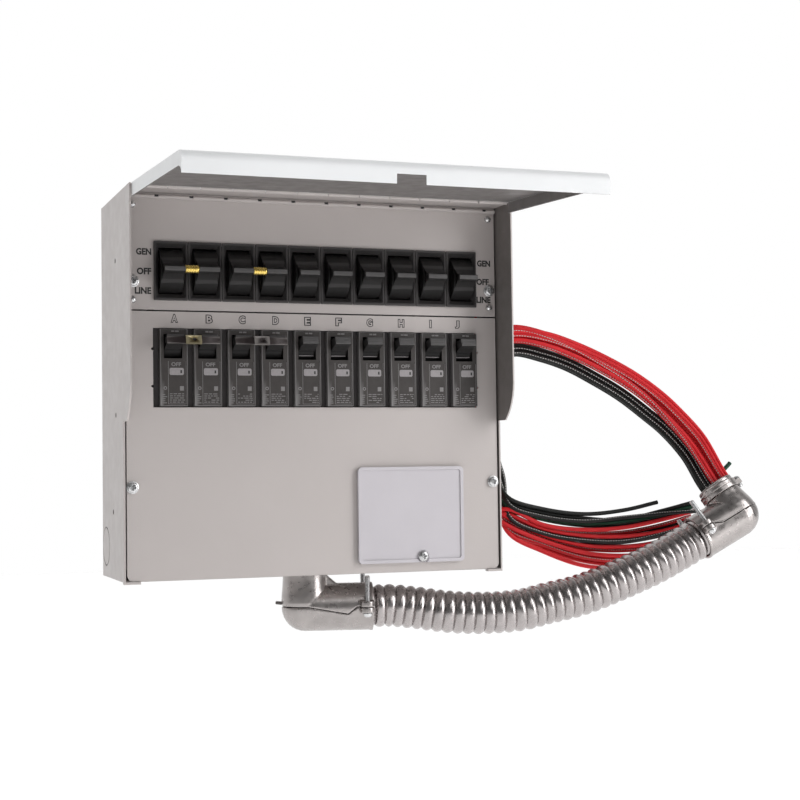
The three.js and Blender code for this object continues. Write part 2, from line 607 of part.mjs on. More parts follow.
const upperElbow = new THREE.Group();
const turned = new THREE.Matrix4().makeBasis(backAlong, across, neckUp);
upperElbow.quaternion.setFromRotationMatrix(turned);
upperElbow.position.set(320.5, -92.5, -123.5).addScaledVector(arrival, UPPER_ELBOW.socket);
group.add(upperElbow);
addElbow(upperElbow, 'upper', UPPER_ELBOW, 1);

// ---- conduit and leads ------------------------------------------------------------------------
// A point in a connector's own axes, told in the whole part's.
function inConnector(connector, x, y, z) {
  connector.updateMatrix();
  return new THREE.Vector3(x, y, z).applyMatrix4(connector.matrix).toArray();
}

const CONDUIT_ROUTE = [
  ...[30, 43, 56, 66].map((x) => inConnector(lowerElbow, x, 0, 0)),
  [84, -66, -171.5], [108, -74, -175], [135, -81, -176.5], [164, -87, -175], [184, -89, -171],
  [214, -92, -165], [245, -94, -155], [278, -94, -143],
  ...[54, 40.5, 29, 18].map((x) => inConnector(upperElbow, x, 0, 0)),
];
addMesh(group, 'conduit', tubeAlong(CONDUIT_ROUTE, CONDUIT_R, 16, 48), ZINC);

const MOUTH = UPPER_ELBOW.neck + UPPER_ELBOW.nipple;
const RED_BUNDLE_R = 6.2;
const BLACK_BUNDLE_R = 5.2;
const RED_ROUTE = [
  inConnector(upperElbow, -6, 2.5, MOUTH - 8),
  inConnector(upperElbow, -6.4, 2.5, MOUTH + 6),
  [338, -64, -43], [324, -55, -23], [311, -48, -8], [290, -41, 9], [265, -34, 24],
  [242, -29, 35], [219, -26, 43], [192, -21, 47], [172, -18, 40], [164, -16, 22], [161, -16, -5],
  [160, -16, -35], [163, -16, -70], [172, -20, -95], [184, -24, -109], [209, -30, -119],
  [241, -36, -125], [278, -40, -126], [315, -42, -120], [348, -44, -109],
];
const BLACK_ROUTE = [
  inConnector(upperElbow, 6.6, -1, MOUTH - 8),
  inConnector(upperElbow, 6.8, -1, MOUTH + 6),
  [332, -58, -55], [319, -46, -34], [305, -39, -20], [285, -32, -3], [262, -25, 12],
  [243, -19, 23], [221, -15, 31], [196, -11, 36], [182, -10.5, 29], [175.5, -12, 12],
  [174.5, -12, -20], [175.5, -12, -55], [180, -14, -75], [188, -20, -92], [211, -26, -102],
  [243, -31, -107], [281, -35, -105], [317, -38, -99], [345, -40, -96],
];
const GREEN_ROUTE = [
  inConnector(upperElbow, -11, -5.2, MOUTH - 14),
  inConnector(upperElbow, -11.3, -5, MOUTH),
  inConnector(upperElbow, -14.5, -4.8, MOUTH + 6.5),
  inConnector(upperElbow, -25.5, -3.8, MOUTH + 10.4),
];
addMesh(group, 'red_leads', tubeAlong(RED_ROUTE, RED_BUNDLE_R, 10, 70), RED_PVC);
addMesh(group, 'black_green_leads', tubeAlong(BLACK_ROUTE, BLACK_BUNDLE_R, 10, 70), BLACK_PVC);
addMesh(group, 'green_lead_end', tubeAlong(GREEN_ROUTE, 1.8, 8, 6), GREEN_PVC);

export default group;
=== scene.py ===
"""The looks of a wall-mounted manual transfer switch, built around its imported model.

The model's own frame: +Z up, the front towards -Y, the wall at y = 0. Blender works in metres.
Values with MM and those made by mm() are in metres; plain profiles and bevels are in millimetres.
"""
import json
import math
import random

import bmesh
import bpy
from mathutils import Matrix, Vector

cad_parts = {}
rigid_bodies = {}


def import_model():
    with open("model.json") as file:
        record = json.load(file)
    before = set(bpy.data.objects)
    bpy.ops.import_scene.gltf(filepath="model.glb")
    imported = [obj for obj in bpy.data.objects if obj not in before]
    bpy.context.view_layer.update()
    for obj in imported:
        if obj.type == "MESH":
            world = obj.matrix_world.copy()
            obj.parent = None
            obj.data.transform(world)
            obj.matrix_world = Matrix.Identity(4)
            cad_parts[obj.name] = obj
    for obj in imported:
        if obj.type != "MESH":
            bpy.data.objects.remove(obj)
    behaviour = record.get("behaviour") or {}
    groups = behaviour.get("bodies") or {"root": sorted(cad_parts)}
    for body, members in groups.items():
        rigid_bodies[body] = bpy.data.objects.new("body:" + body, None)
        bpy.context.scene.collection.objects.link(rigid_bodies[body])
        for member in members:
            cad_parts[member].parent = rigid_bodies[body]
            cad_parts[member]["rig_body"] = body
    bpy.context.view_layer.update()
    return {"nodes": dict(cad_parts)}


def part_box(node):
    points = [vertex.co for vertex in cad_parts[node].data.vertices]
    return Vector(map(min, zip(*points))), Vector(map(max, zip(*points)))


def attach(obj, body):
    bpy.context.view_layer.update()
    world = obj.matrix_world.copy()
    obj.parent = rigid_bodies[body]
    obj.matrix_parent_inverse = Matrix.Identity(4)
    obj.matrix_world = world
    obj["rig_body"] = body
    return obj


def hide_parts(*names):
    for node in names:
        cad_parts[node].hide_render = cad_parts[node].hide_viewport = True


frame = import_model()

MM = 0.001
NODES = frame["nodes"]
CIRCUITS = "abcdefghij"
PAIRS = ("ab", "cd")  # the circuits that are tied together
UNTIED = "efghij"
PITCH = 25.4 * MM
ROW_SHIFT = 2.1 * MM
X, Y, Z = Vector((1, 0, 0)), Vector((0, 1, 0)), Vector((0, 0, 1))


def mm(*values):
    return Vector(values) * MM


def circuit_x(i):
    return (i - 4.5) * PITCH + ROW_SHIFT


def linked(obj):
    bpy.context.scene.collection.objects.link(obj)
    return obj


# ---- camera ----
# Left of the front and a little below the middle, looking slightly up.
CAMERA_PLACE = mm(-350.4, -1231.3, -61.3)
CAMERA_TURN, CAMERA_RISE, CAMERA_ROLL = 0.348979, 0.041827, -0.013272
LENS = 71.41


def add_camera():
    forward = Vector((
        math.sin(CAMERA_TURN) * math.cos(CAMERA_RISE),
        math.cos(CAMERA_TURN) * math.cos(CAMERA_RISE),
        math.sin(CAMERA_RISE),
    ))
    level = Vector((math.cos(CAMERA_TURN), -math.sin(CAMERA_TURN), 0))
    up = level.cross(forward)
    right = level * math.cos(CAMERA_ROLL) + up * math.sin(CAMERA_ROLL)
    top = up * math.cos(CAMERA_ROLL) - level * math.sin(CAMERA_ROLL)
    data = bpy.data.cameras.new("camera")
    data.sensor_width = 36
    data.lens = LENS
    camera = linked(bpy.data.objects.new("camera", data))
    axes = Matrix((right, top, -forward)).transposed()
    camera.matrix_world = Matrix.Translation(CAMERA_PLACE) @ axes.to_4x4()
    bpy.context.scene.camera = camera


add_camera()


# ---- materials ----
def shader_node(tree, kind, inputs=(), **settings):
    """A new node. Each input is given its value, or is linked when that is another node's output."""
    node = tree.nodes.new(kind)
    for key, value in settings.items():
        setattr(node, key, value)
    for key, value in dict(inputs).items():
        if isinstance(value, bpy.types.NodeSocket):
            tree.links.new(value, node.inputs[key])
        else:
            node.inputs[key].default_value = value
    return node


class Look:
    """A procedural material: a Principled shader with noise in its colour, roughness and bump.
    Pattern sizes and depths are in millimetres."""

    def __init__(self, name, color, roughness, metallic=0.0, **fixed):
        self.material = bpy.data.materials.new(name)
        self.material.use_nodes = True
        self.tree = self.material.node_tree
        self.shader = self.tree.nodes["Principled BSDF"]
        values = {"Base Color": (*color, 1), "Roughness": roughness, "Metallic": metallic}
        values.update({socket.replace("_", " "): value for socket, value in fixed.items()})
        for socket, value in values.items():
            self.shader.inputs[socket].default_value = value
        self.color = color
        self.place = self.add("ShaderNodeTexCoord").outputs["Object"]
        self.last_normal = None

    def add(self, kind, inputs=(), **settings):
        return shader_node(self.tree, kind, inputs, **settings)

    def math(self, operation, *inputs):
        return self.add("ShaderNodeMath", enumerate(inputs), operation=operation).outputs[0]

    def noise(self, size, detail=2.0, stretch=(1, 1, 1)):
        """Noise with features about size across, longer along an axis where stretch is small."""
        spot = self.add("ShaderNodeMapping", {"Vector": self.place, "Scale": stretch}).outputs["Vector"]
        inputs = {"Vector": spot, "Scale": 1 / (size * MM), "Detail": detail}
        return self.add("ShaderNodeTexNoise", inputs).outputs["Fac"]

    def spread(self, value, low, high, from_low=0.3, from_high=0.7):
        inputs = {
            "Value": value, "From Min": from_low, "From Max": from_high, "To Min": low, "To Max": high}
        return self.add("ShaderNodeMapRange", inputs).outputs["Result"]

    def tint(self, factor, color):
        """Mixes another colour over the present one by factor."""
        base = self.shader.inputs["Base Color"]
        present = base.links[0].from_socket if base.is_linked else base.default_value
        inputs = {"A": present, "B": (*color, 1), "Factor": factor}
        mix = self.add("ShaderNodeMix", inputs, data_type="RGBA")
        self.tree.links.new(mix.outputs["Result"], base)

    def mottle(self, size, amount, detail=2.0):
        """Lighter and darker patches, by amount as a share of the colour."""
        darker = [c * (1 - amount) for c in self.color]
        self.tint(self.spread(self.noise(size, detail), 0, 1), darker)

    def rough(self, size, low, high, detail=2.0):
        value = self.spread(self.noise(size, detail), low, high)
        self.tree.links.new(value, self.shader.inputs["Roughness"])

    def grain(self, size, depth, detail=2.0, stretch=(1, 1, 1)):
        """Bumps and hollows, added to the ones that are there."""
        inputs = {"Strength": 1.0, "Distance": depth * MM, "Height": self.noise(size, detail, stretch)}
        if self.last_normal:
            inputs["Normal"] = self.last_normal
        self.last_normal = self.add("ShaderNodeBump", inputs).outputs["Normal"]
        self.tree.links.new(self.last_normal, self.shader.inputs["Normal"])

    def edges(self, color, start=0.53, end=0.62):
        """Convex edges tinted lighter: partly wear, partly painted highlight."""
        point = self.add("ShaderNodeNewGeometry").outputs["Pointiness"]
        self.tint(self.spread(point, 0, 0.7, start, end), color)


def surface(name, color, roughness, metallic, mottle, rough, *grains, edges=None, **fixed):
    """A material. The patterns are given as their method's arguments, in the order above."""
    look = Look(name, color, roughness, metallic, **fixed)
    look.mottle(*mottle)
    look.rough(*rough)
    for grain in grains:
        look.grain(*grain)
    if edges:
        look.edges(*edges)
    return look.material


def grey_paint(name, color):
    return surface(
        name, color, 0.42, 0, (60, 0.03), (9, 0.36, 0.5), (1.1, 0.06, 3), Coat_Weight=0.15,
        Coat_Roughness=0.3)


def black_plastic(name, color, roughness):
    # edges much lighter than the plastic: painted highlight along with some wear
    edge_color = [c * 5 + 0.02 for c in color]
    return surface(
        name, color, roughness, 0, (20, 0.15), (3, roughness - 0.06, roughness + 0.1), (0.5, 0.02, 3),
        edges=(edge_color, 0.52, 0.62), Specular_IOR_Level=0.12)


def print_ink(name, color, roughness=0.5):
    return surface(name, color, roughness, 0, (2, 0.12), (1, roughness - 0.08, roughness + 0.1))


MARK_PITCH = 2.3  # millimetres from one printed mark on a wire to the next
MARK_SHARE = 0.62  # how much of that the mark takes
MARK_HALF_WIDTH = 0.035  # as a share of the way round
MARK_COLOR = (0.42, 0.41, 0.40)


def wire_jacket(name, color, printed):
    """Smooth insulation. A printed one carries a row of small marks along it."""
    look = Look(name, color, 0.5, Specular_IOR_Level=0.25)
    look.mottle(15, 0.12)
    look.rough(6, 0.44, 0.58)
    look.grain(4, 0.02)
    if printed:
        # u runs in metres along the wire and v once around it
        uv = look.add("ShaderNodeTexCoord").outputs["UV"]
        along_and_round = look.add("ShaderNodeSeparateXYZ", {"Vector": uv}).outputs
        pitches = look.math("MULTIPLY", along_and_round["X"], 1 / (MARK_PITCH * MM))
        on_mark = look.math("LESS_THAN", look.math("FRACT", pitches), MARK_SHARE)
        on_line = look.math("COMPARE", along_and_round["Y"], 0.5, MARK_HALF_WIDTH)
        look.tint(look.math("MULTIPLY", on_mark, on_line), MARK_COLOR)
    return look.material


MATERIALS = {
    "grey_paint": grey_paint("grey_paint", (0.475, 0.435, 0.422)),
    # the walls' inner faces and the hollows of the wall marks: dark grey as painted shade
    "shell_painted_shade": grey_paint("shell_painted_shade", (0.15, 0.135, 0.128)),
    "lid_outside": surface(
        "lid_outside_paint", (0.80, 0.81, 0.82), 0.4, 0, (50, 0.03), (8, 0.32, 0.46), (1.1, 0.05, 3),
        Coat_Weight=0.2, Coat_Roughness=0.25),
    # the lid's inside: a darker grey as painted shade
    "lid_inside_painted_shade": surface(
        "lid_painted_shade_inside", (0.175, 0.163, 0.159), 0.5, 0, (60, 0.06), (9, 0.42, 0.58), (1.1, 0.06, 3)),
    "zinc": surface(
        "zinc_plate", (0.55, 0.55, 0.555), 0.24, 1, (3, 0.18), (1.2, 0.2, 0.42), (0.4, 0.02),
        edges=((0.9, 0.9, 0.9),)),
    "cast": surface(
        "cast_metal", (0.40, 0.372, 0.362), 0.33, 1, (12, 0.15, 1), (4, 0.25, 0.36, 1), (7, 0.03, 1),
        (1.5, 0.004, 1), edges=((0.8, 0.78, 0.77), 0.58, 0.7)),
    "conduit": surface(
        "conduit_strip", (0.43, 0.4, 0.395), 0.26, 1, (9, 0.12), (5, 0.22, 0.32), (8, 0.01, 1)),
    "black": black_plastic("black_plastic", (0.007, 0.0065, 0.0065), 0.4),
    "bezel": black_plastic("bezel_plastic", (0.03, 0.028, 0.028), 0.45),
    "handle": black_plastic("handle_plastic", (0.008, 0.0075, 0.0075), 0.4),
    # a lighter black for the grips' front faces: painted highlight
    "fin_tip_highlight": black_plastic("fin_tip_highlight_plastic", (0.026, 0.025, 0.025), 0.5),
    # a darker black for the breaker slots' walls and the case behind the nose: painted shade
    "shoulder": black_plastic("shoulder_plastic", (0.018, 0.0165, 0.0165), 0.5),
    "breaker": surface(
        "breaker_plastic", (0.043, 0.037, 0.035), 0.5, 0, (8, 0.2), (3, 0.42, 0.6), (0.6, 0.03, 3),
        edges=((0.25, 0.24, 0.24), 0.53, 0.63), Specular_IOR_Level=0.4),
    "plate": surface(
        "plate_plastic", (0.53, 0.505, 0.535), 0.35, 0, (25, 0.03), (6, 0.3, 0.42), (0.7, 0.03, 3),
        Coat_Weight=0.1),
    "brass": surface(
        "brass", (0.86, 0.66, 0.2), 0.25, 1, (2, 0.1), (1, 0.18, 0.36), (0.5, 0.02, 2, (4, 1, 1))),
    "dull_brass": surface(
        "dull_brass", (0.24, 0.19, 0.09), 0.45, 0.8, (2, 0.3), (1, 0.36, 0.55), (0.5, 0.02),
        edges=((0.5, 0.45, 0.3), 0.54, 0.64)),
    "dark_steel": surface(
        "dark_steel", (0.035, 0.026, 0.026), 0.45, 0.3, (3, 0.2), (2, 0.38, 0.55), (0.5, 0.02),
        edges=((0.3, 0.28, 0.27), 0.54, 0.64)),
    # black print, and the black of the panel's notches as painted shade
    "black_print_and_shade": print_ink("black_print_and_shade", (0.02, 0.02, 0.02)),
    # pale print, and the pale border lines of the breakers' faces as painted highlight
    "pale_print_and_highlight": print_ink("pale_print_and_highlight", (0.20, 0.19, 0.19)),
    "label": print_ink("label_grey", (0.30, 0.28, 0.285), 0.4),
    "red": wire_jacket("red_jacket", (0.60, 0.016, 0.022), False),
    "red_printed": wire_jacket("red_printed_jacket", (0.52, 0.014, 0.02), True),
    "black_wire": wire_jacket("black_jacket", (0.011, 0.012, 0.011), False),
    "black_printed": wire_jacket("black_printed_jacket", (0.012, 0.012, 0.012), True),
    "green_wire": wire_jacket("green_jacket", (0.008, 0.05, 0.026), False),
    "copper": print_ink("copper_core", (0.72, 0.32, 0.14), 0.35),
    "floor": print_ink("floor_white", (0.9, 0.9, 0.9), 0.7),
}


# ---- mesh helpers ----
def apply_modifiers(obj):
    bpy.context.view_layer.update()
    depsgraph = bpy.context.evaluated_depsgraph_get()
    mesh = bpy.data.meshes.new_from_object(obj.evaluated_get(depsgraph))
    obj.modifiers.clear()
    obj.data = mesh
    return obj


def shade(obj, angle=30, flat_faces=False):
    """Smooth up to angle. With flat_faces, a large flat face keeps its own normal past its bevels."""
    for polygon in obj.data.polygons:
        polygon.use_smooth = True
    obj.data.set_sharp_from_angle(angle=math.radians(angle))
    if flat_faces:
        weighted = obj.modifiers.new("weighted", "WEIGHTED_NORMAL")
        weighted.keep_sharp = True
        weighted.weight = 100
        apply_modifiers(obj)
    return obj


def new_object(name, bm, materials, smooth_angle=35, flat_faces=False):
    bmesh.ops.recalc_face_normals(bm, faces=bm.faces)
    mesh = bpy.data.meshes.new(name)
    bm.to_mesh(mesh)
    bm.free()
    for material in materials:
        mesh.materials.append(MATERIALS[material])
    return shade(linked(bpy.data.objects.new(name, mesh)), smooth_angle, flat_faces)


def body_of(node):
    return NODES[node]["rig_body"]


def place(obj, body, slot, *replaced):
    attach(obj, body)
    if replaced:
        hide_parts(*replaced)
    return obj


def bevel_sharp(bm, width, segments=2, angle=35, chosen=lambda edge: True):
    """Rounds the edges that turn by more than angle, width millimetres to each side."""
    edges = [
        e for e in bm.edges
        if len(e.link_faces) == 2 and e.calc_face_angle(0) > math.radians(angle) and chosen(e)
    ]
    bmesh.ops.bevel(
        bm, geom=edges, offset=width * MM, offset_type="OFFSET", segments=segments,
        profile=0.5, affect="EDGES", clamp_overlap=True,
    )


def node_bmesh(node):
    """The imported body's mesh with its flat faces made whole again."""
    bm = bmesh.new()
    bm.from_mesh(NODES[node].data)
    bmesh.ops.remove_doubles(bm, verts=bm.verts, dist=1e-6)
    bmesh.ops.dissolve_limit(
        bm, angle_limit=math.radians(0.5), verts=bm.verts, edges=bm.edges)
    return bm


def combine(obj, tools, operation="DIFFERENCE"):
    """Cuts tools from obj, or joins them to it, and removes them."""
    for tool in tools:
        step = obj.modifiers.new(operation.lower(), "BOOLEAN")
        step.operation = operation
        step.solver = "EXACT"
        step.object = tool
        apply_modifiers(obj)
        bpy.data.objects.remove(tool)
    return obj


def lathe(bm, profile, axis_place, axis, sides=48, start=None, closed=False):
    """A closed body of revolution. The profile is (radius, height) pairs in millimetres. It begins
    and ends on the axis, or is a ring's closed section."""
    axis = axis.normalized()
    side = start or (Y if abs(axis.dot(Y)) < 0.9 else X)
    side = (side - axis * side.dot(axis)).normalized()
    other = axis.cross(side)
    rings = []
    for r, h in profile:
        centre = axis_place + axis * (h * MM)
        if r < 1e-6:
            rings.append([bm.verts.new(centre)])
            continue
        angles = [2 * math.pi * k / sides for k in range(sides)]
        rings.append([
            bm.verts.new(centre + (side * math.cos(a) + other * math.sin(a)) * (r * MM))
            for a in angles])
    for low, high in zip(rings, rings[1:] + rings[:1] if closed else rings[1:]):
        for k in range(sides):
            n = (k + 1) % sides
            if len(low) == 1 and len(high) == 1:
                continue
            if len(low) == 1:
                bm.faces.new((low[0], high[n], high[k]))
            elif len(high) == 1:
                bm.faces.new((low[k], low[n], high[0]))
            else:
                bm.faces.new((low[k], low[n], high[n], high[k]))
    return bm


def turned(name, profile, axis_place, axis, sides, materials, smooth_angle=35):
    return new_object(name, lathe(bmesh.new(), profile, axis_place, axis, sides), materials, smooth_angle)


def prism(bm, outline, depth):
    """A closed slab: outline is a list of points, drawn out by the vector depth."""
    low = [bm.verts.new(p) for p in outline]
    high = [bm.verts.new(p + depth) for p in outline]
    bm.faces.new(low)
    bm.faces.new(list(reversed(high)))
    for k in range(len(low)):
        n = (k + 1) % len(low)
        bm.faces.new((low[k], high[k], high[n], low[n]))
    return bm


def block(bm, low, high):
    outline = [
        Vector((low.x, low.y, low.z)), Vector((high.x, low.y, low.z)),
        Vector((high.x, low.y, high.z)), Vector((low.x, low.y, high.z)),
    ]
    return prism(bm, outline, Vector((0, high.y - low.y, 0)))


def arc(centre, across, up, radius, start, end, steps):
    """Points on a circle about centre, angles in degrees from across towards up."""
    points = []
    for k in range(steps + 1):
        a = math.radians(start + (end - start) * k / steps)
        points.append(centre + across * (radius * math.cos(a)) + up * (radius * math.sin(a)))
    return points


def rounded_outline(centre, width, height, radius, across=X, up=Z, steps=4):
    points = []
    for sx, sz, start in ((1, 1, 0), (-1, 1, 90), (-1, -1, 180), (1, -1, 270)):
        corner = centre + across * sx * (width / 2 - radius) + up * sz * (height / 2 - radius)
        points += arc(corner, across, up, radius, start, start + 90, steps)
    return points


def spline(points, spacing):
    """Evenly spaced points on the centripetal Catmull-Rom curve through the given ones."""
    ends = [points[0] * 2 - points[1], *points, points[-1] * 2 - points[-2]]
    dense = []
    for i in range(1, len(ends) - 2):
        p0, p1, p2, p3 = ends[i - 1:i + 3]
        d0, d1, d2 = (max((b - a).length, 1e-9) ** 0.5 for a, b in ((p0, p1), (p1, p2), (p2, p3)))
        m1 = ((p1 - p0) / d0 - (p2 - p0) / (d0 + d1) + (p2 - p1) / d1) * d1
        m2 = ((p2 - p1) / d1 - (p3 - p1) / (d1 + d2) + (p3 - p2) / d2) * d1
        for k in range(40):
            t = k / 40
            dense.append(
                p1 * (2 * t ** 3 - 3 * t ** 2 + 1) + m1 * (t ** 3 - 2 * t ** 2 + t)
                + p2 * (3 * t ** 2 - 2 * t ** 3) + m2 * (t ** 3 - t ** 2))
    dense.append(points[-1].copy())
    total = sum((b - a).length for a, b in zip(dense, dense[1:]))
    count = max(2, round(total / spacing))
    result, travelled, k = [dense[0]], 0.0, 0
    for n in range(1, count):
        goal = total * n / count
        while travelled + (dense[k + 1] - dense[k]).length < goal:
            travelled += (dense[k + 1] - dense[k]).length
            k += 1
        step = dense[k + 1] - dense[k]
        result.append(dense[k] + step * ((goal - travelled) / step.length))
    result.append(dense[-1])
    return result, total


def tube(bm, path, radius, sides, core=None):
    """A closed round tube with u in metres along it and v once round. radius is a number or a
    function of the distance. core is the material index of its two end faces."""
    uv = bm.loops.layers.uv.verify()
    tangents = []
    for i in range(len(path)):
        a, b = path[max(i - 1, 0)], path[min(i + 1, len(path) - 1)]
        tangents.append((b - a).normalized())
    side = tangents[0].orthogonal().normalized()
    rings, lengths, travelled = [], [], 0.0
    for i, (point, tangent) in enumerate(zip(path, tangents)):
        if i:
            travelled += (point - path[i - 1]).length
        side = (side - tangent * side.dot(tangent)).normalized()
        other = tangent.cross(side)
        r = radius(travelled) if callable(radius) else radius
        angles = [2 * math.pi * k / sides for k in range(sides)]
        rings.append([
            bm.verts.new(point + (side * math.cos(a) + other * math.sin(a)) * r) for a in angles])
        lengths.append(travelled)
    for i in range(len(rings) - 1):
        for k in range(sides):
            n = (k + 1) % sides
            face = bm.faces.new((rings[i][k], rings[i][n], rings[i + 1][n], rings[i + 1][k]))
            here, there = lengths[i], lengths[i + 1]
            corners = ((here, k), (here, k + 1), (there, k + 1), (there, k))
            for loop, (u, v) in zip(face.loops, corners):
                loop[uv].uv = (u, v / sides)
    caps = [bm.faces.new(list(reversed(rings[0]))), bm.faces.new(rings[-1])]
    if core is not None:
        for cap in caps:
            bmesh.ops.inset_region(bm, faces=[cap], thickness=radius * 0.38)
            cap.material_index = core
    return bm


# ---- the connectors' axes ----
# +X is the conduit socket, +Z the neck at its other end, and the corner between them is the origin.
ARRIVAL = Vector((0.885, -0.052, 0.461)).normalized()
NECK_UP = Vector((-0.393, 0.443, 0.806))
NECK_UP = (NECK_UP - ARRIVAL * NECK_UP.dot(ARRIVAL)).normalized()
UPPER_SOCKET = 40.5  # millimetres from the corner to the end of the socket
UPPER_MOUTH = 30  # and to the end of the collar, where the leads come out
UPPER_CORNER = mm(320.5, -92.5, -123.5) + ARRIVAL * UPPER_SOCKET * MM
UPPER_AXES = Matrix.Translation(UPPER_CORNER) @ Matrix(
    (-ARRIVAL, NECK_UP.cross(-ARRIVAL), NECK_UP)).transposed().to_4x4()
LOWER_AXES = Matrix.Translation(mm(1, -45, -169.3)) @ Matrix.Rotation(math.radians(-14), 4, "Z")


def in_upper(x, y, z):
    return UPPER_AXES @ mm(x, y, z)


def in_lower(x, y, z):
    return LOWER_AXES @ mm(x, y, z)


# ---- conduit ----
CONDUIT_D = 33 * MM
CONDUIT_PITCH = 7.8 * MM
CONDUIT_GROOVE = 2.1 * MM
CONDUIT_ROUTE = [
    *[in_lower(x, 0, 0) for x in (30, 43, 56, 66)],
    *[mm(*p) for p in (
        (84, -66, -171.5), (108, -74, -175), (135, -81, -176.5), (164, -87, -175),
        (184, -89, -171), (214, -92, -165), (245, -94, -155), (278, -94, -143))],
    *[in_upper(x, 0, 0) for x in (54, 40.5, 29, 18)],
]


def conduit_radius(distance):
    """Round ribs with a narrow groove between them."""
    phase = distance / CONDUIT_PITCH % 1
    return CONDUIT_D / 2 - CONDUIT_GROOVE * (1 - math.sin(math.pi * phase) ** 0.8)


def add_conduit():
    path, length = spline(CONDUIT_ROUTE, CONDUIT_PITCH / 20)
    bm = tube(bmesh.new(), path, conduit_radius, 48)
    obj = new_object("conduit_ribbed", bm, ["conduit"], smooth_angle=50)
    place(obj, "cabinet", "conduit_aluminium", "conduit")
    return obj, path, length


# ---- leads ----
WIRE_D = 3.5 * MM
RED_ROUTE = [
    in_upper(-6, 2.5, UPPER_MOUTH - 8), in_upper(-6.4, 2.5, UPPER_MOUTH + 6),
    *[mm(*p) for p in (
        (338, -64, -43), (324, -55, -23), (311, -48, -8), (290, -41, 9),
        (265, -34, 24), (242, -29, 35), (219, -26, 43), (192, -21, 47),
        (172, -18, 40), (164, -16, 22), (161, -16, -5), (160, -16, -35),
        (163, -16, -70), (172, -20, -95), (184, -24, -109), (209, -30, -119),
        (241, -36, -125), (278, -40, -126), (315, -42, -120), (348, -44, -109))],
]
BLACK_ROUTE = [
    in_upper(6.6, -1, UPPER_MOUTH - 8), in_upper(6.8, -1, UPPER_MOUTH + 6),
    *[mm(*p) for p in (
        (332, -58, -55), (319, -46, -34), (305, -39, -20), (285, -32, -3),
        (262, -25, 12), (243, -19, 23), (221, -15, 31), (196, -11, 36),
        (182, -10.5, 29), (175.5, -12, 12), (174.5, -12, -20), (175.5, -12, -55),
        (180, -14, -75), (188, -20, -92), (211, -26, -102), (243, -31, -107),
        (281, -35, -105), (317, -38, -99), (345, -40, -96))],
]
# The last stretch of each lead fans out: its height in millimetres where x is each of FAN_X.
FAN_X = (182, 210, 246, 281, 315, 345)
# Millimetres beside the bundle's line: (look, across, in front, drift, fan heights, front in the fan)
RED_LEADS = [
    ("red", -6.2, -1.6, 1.5, (-98, -111, -116, -115, -109, -102), -7),
    ("red", -4.9, 1.8, -1.0, (-102, -114, -121, -122.5, -119, -112), -4),
    ("red", -3.4, -2.0, 1.0, (-105, -119, -129, -131, -127.5, -119), -3),
    ("red", -2.0, 1.9, -6.0, (-112, -124, -135, -138.5, -136, -128), -5),
    ("red_printed", -0.6, -1.9, 1.0, (-115, -127, -139, -143, -141, -133), -2),
    ("red", 0.9, 1.8, 2.0, (-118, -133, -146, -149, -146, -138), -4),
    ("red_printed", 2.3, -2.1, -7.5, (-108, -121.5, -131.5, -134.5, -131.5, -123), 2),
    ("red", 3.7, 1.7, 1.5, (-110, -124, -136, -140, -138, -130), 3),
    ("red", 5.0, -1.7, -1.0, (-113, -129, -142, -146, -143, -135), 2),
    ("red_printed", 6.3, 1.4, -1.5, (-100, -113, -119, -119.5, -114.5, -107), 3),
]
BLACK_LEADS = [
    ("black_wire", -3.4, -2.6, 1.0, (-89, -98, -103, -100.5, -94.3), -6),
    ("black_wire", -3.6, 0.9, -1.0, (-92, -101, -106.5, -108.5, -102, -95), -3),
    ("black_printed", -1.9, -3.2, 1.0, (-95, -104.5, -109, -106.5, -104, -102.5), -8),
    ("green_wire", -1.4, 1.2, 0.0, (-97, -106, -111, -110, -105, -98.5), -4),
    ("black_wire", 0.0, -1.4, 1.5, (-93.5, -102.5, -108.5, -111, -105.5, -98), 1),
    ("black_wire", 0.4, 3.0, -1.0, (-96, -106, -112.5, -113.5, -109, -102), 4),
    ("black_printed", 1.9, -2.8, 1.0, (-104, -118, -125, -126.5, -121, -113), -5),
    ("black_wire", 2.2, 0.8, -1.5, (-100.5, -113, -121, -124, -119, -111), 3),
    ("black_wire", 3.5, -1.5, 0.0, (-106, -120, -128.5, -128, -123.5, -116), 5),
    ("black_wire", 3.6, 2.3, 1.0, (-103, -116, -124, -121, -116, -109.5), 5),
]
GREEN_ROUTE = [
    in_upper(-11, -5.2, UPPER_MOUTH - 14), in_upper(-11.3, -5, UPPER_MOUTH),
    in_upper(-14.5, -4.8, UPPER_MOUTH + 6.5), in_upper(-25.5, -3.8, UPPER_MOUTH + 10.4),
]


# The routes' points by number: up to NECK_END they are in the connector, up to LOOP_END in the loop.
NECK_END, LOOP_MIDDLE, LOOP_END, DRIFT_SPAN = 1, 5.5, 10, 4
FAN_START_X, FAN_START_Z = 181 * MM, -80 * MM
SHORT_FAN_BACK = 4  # how far left the last points of a lead with fewer heights are


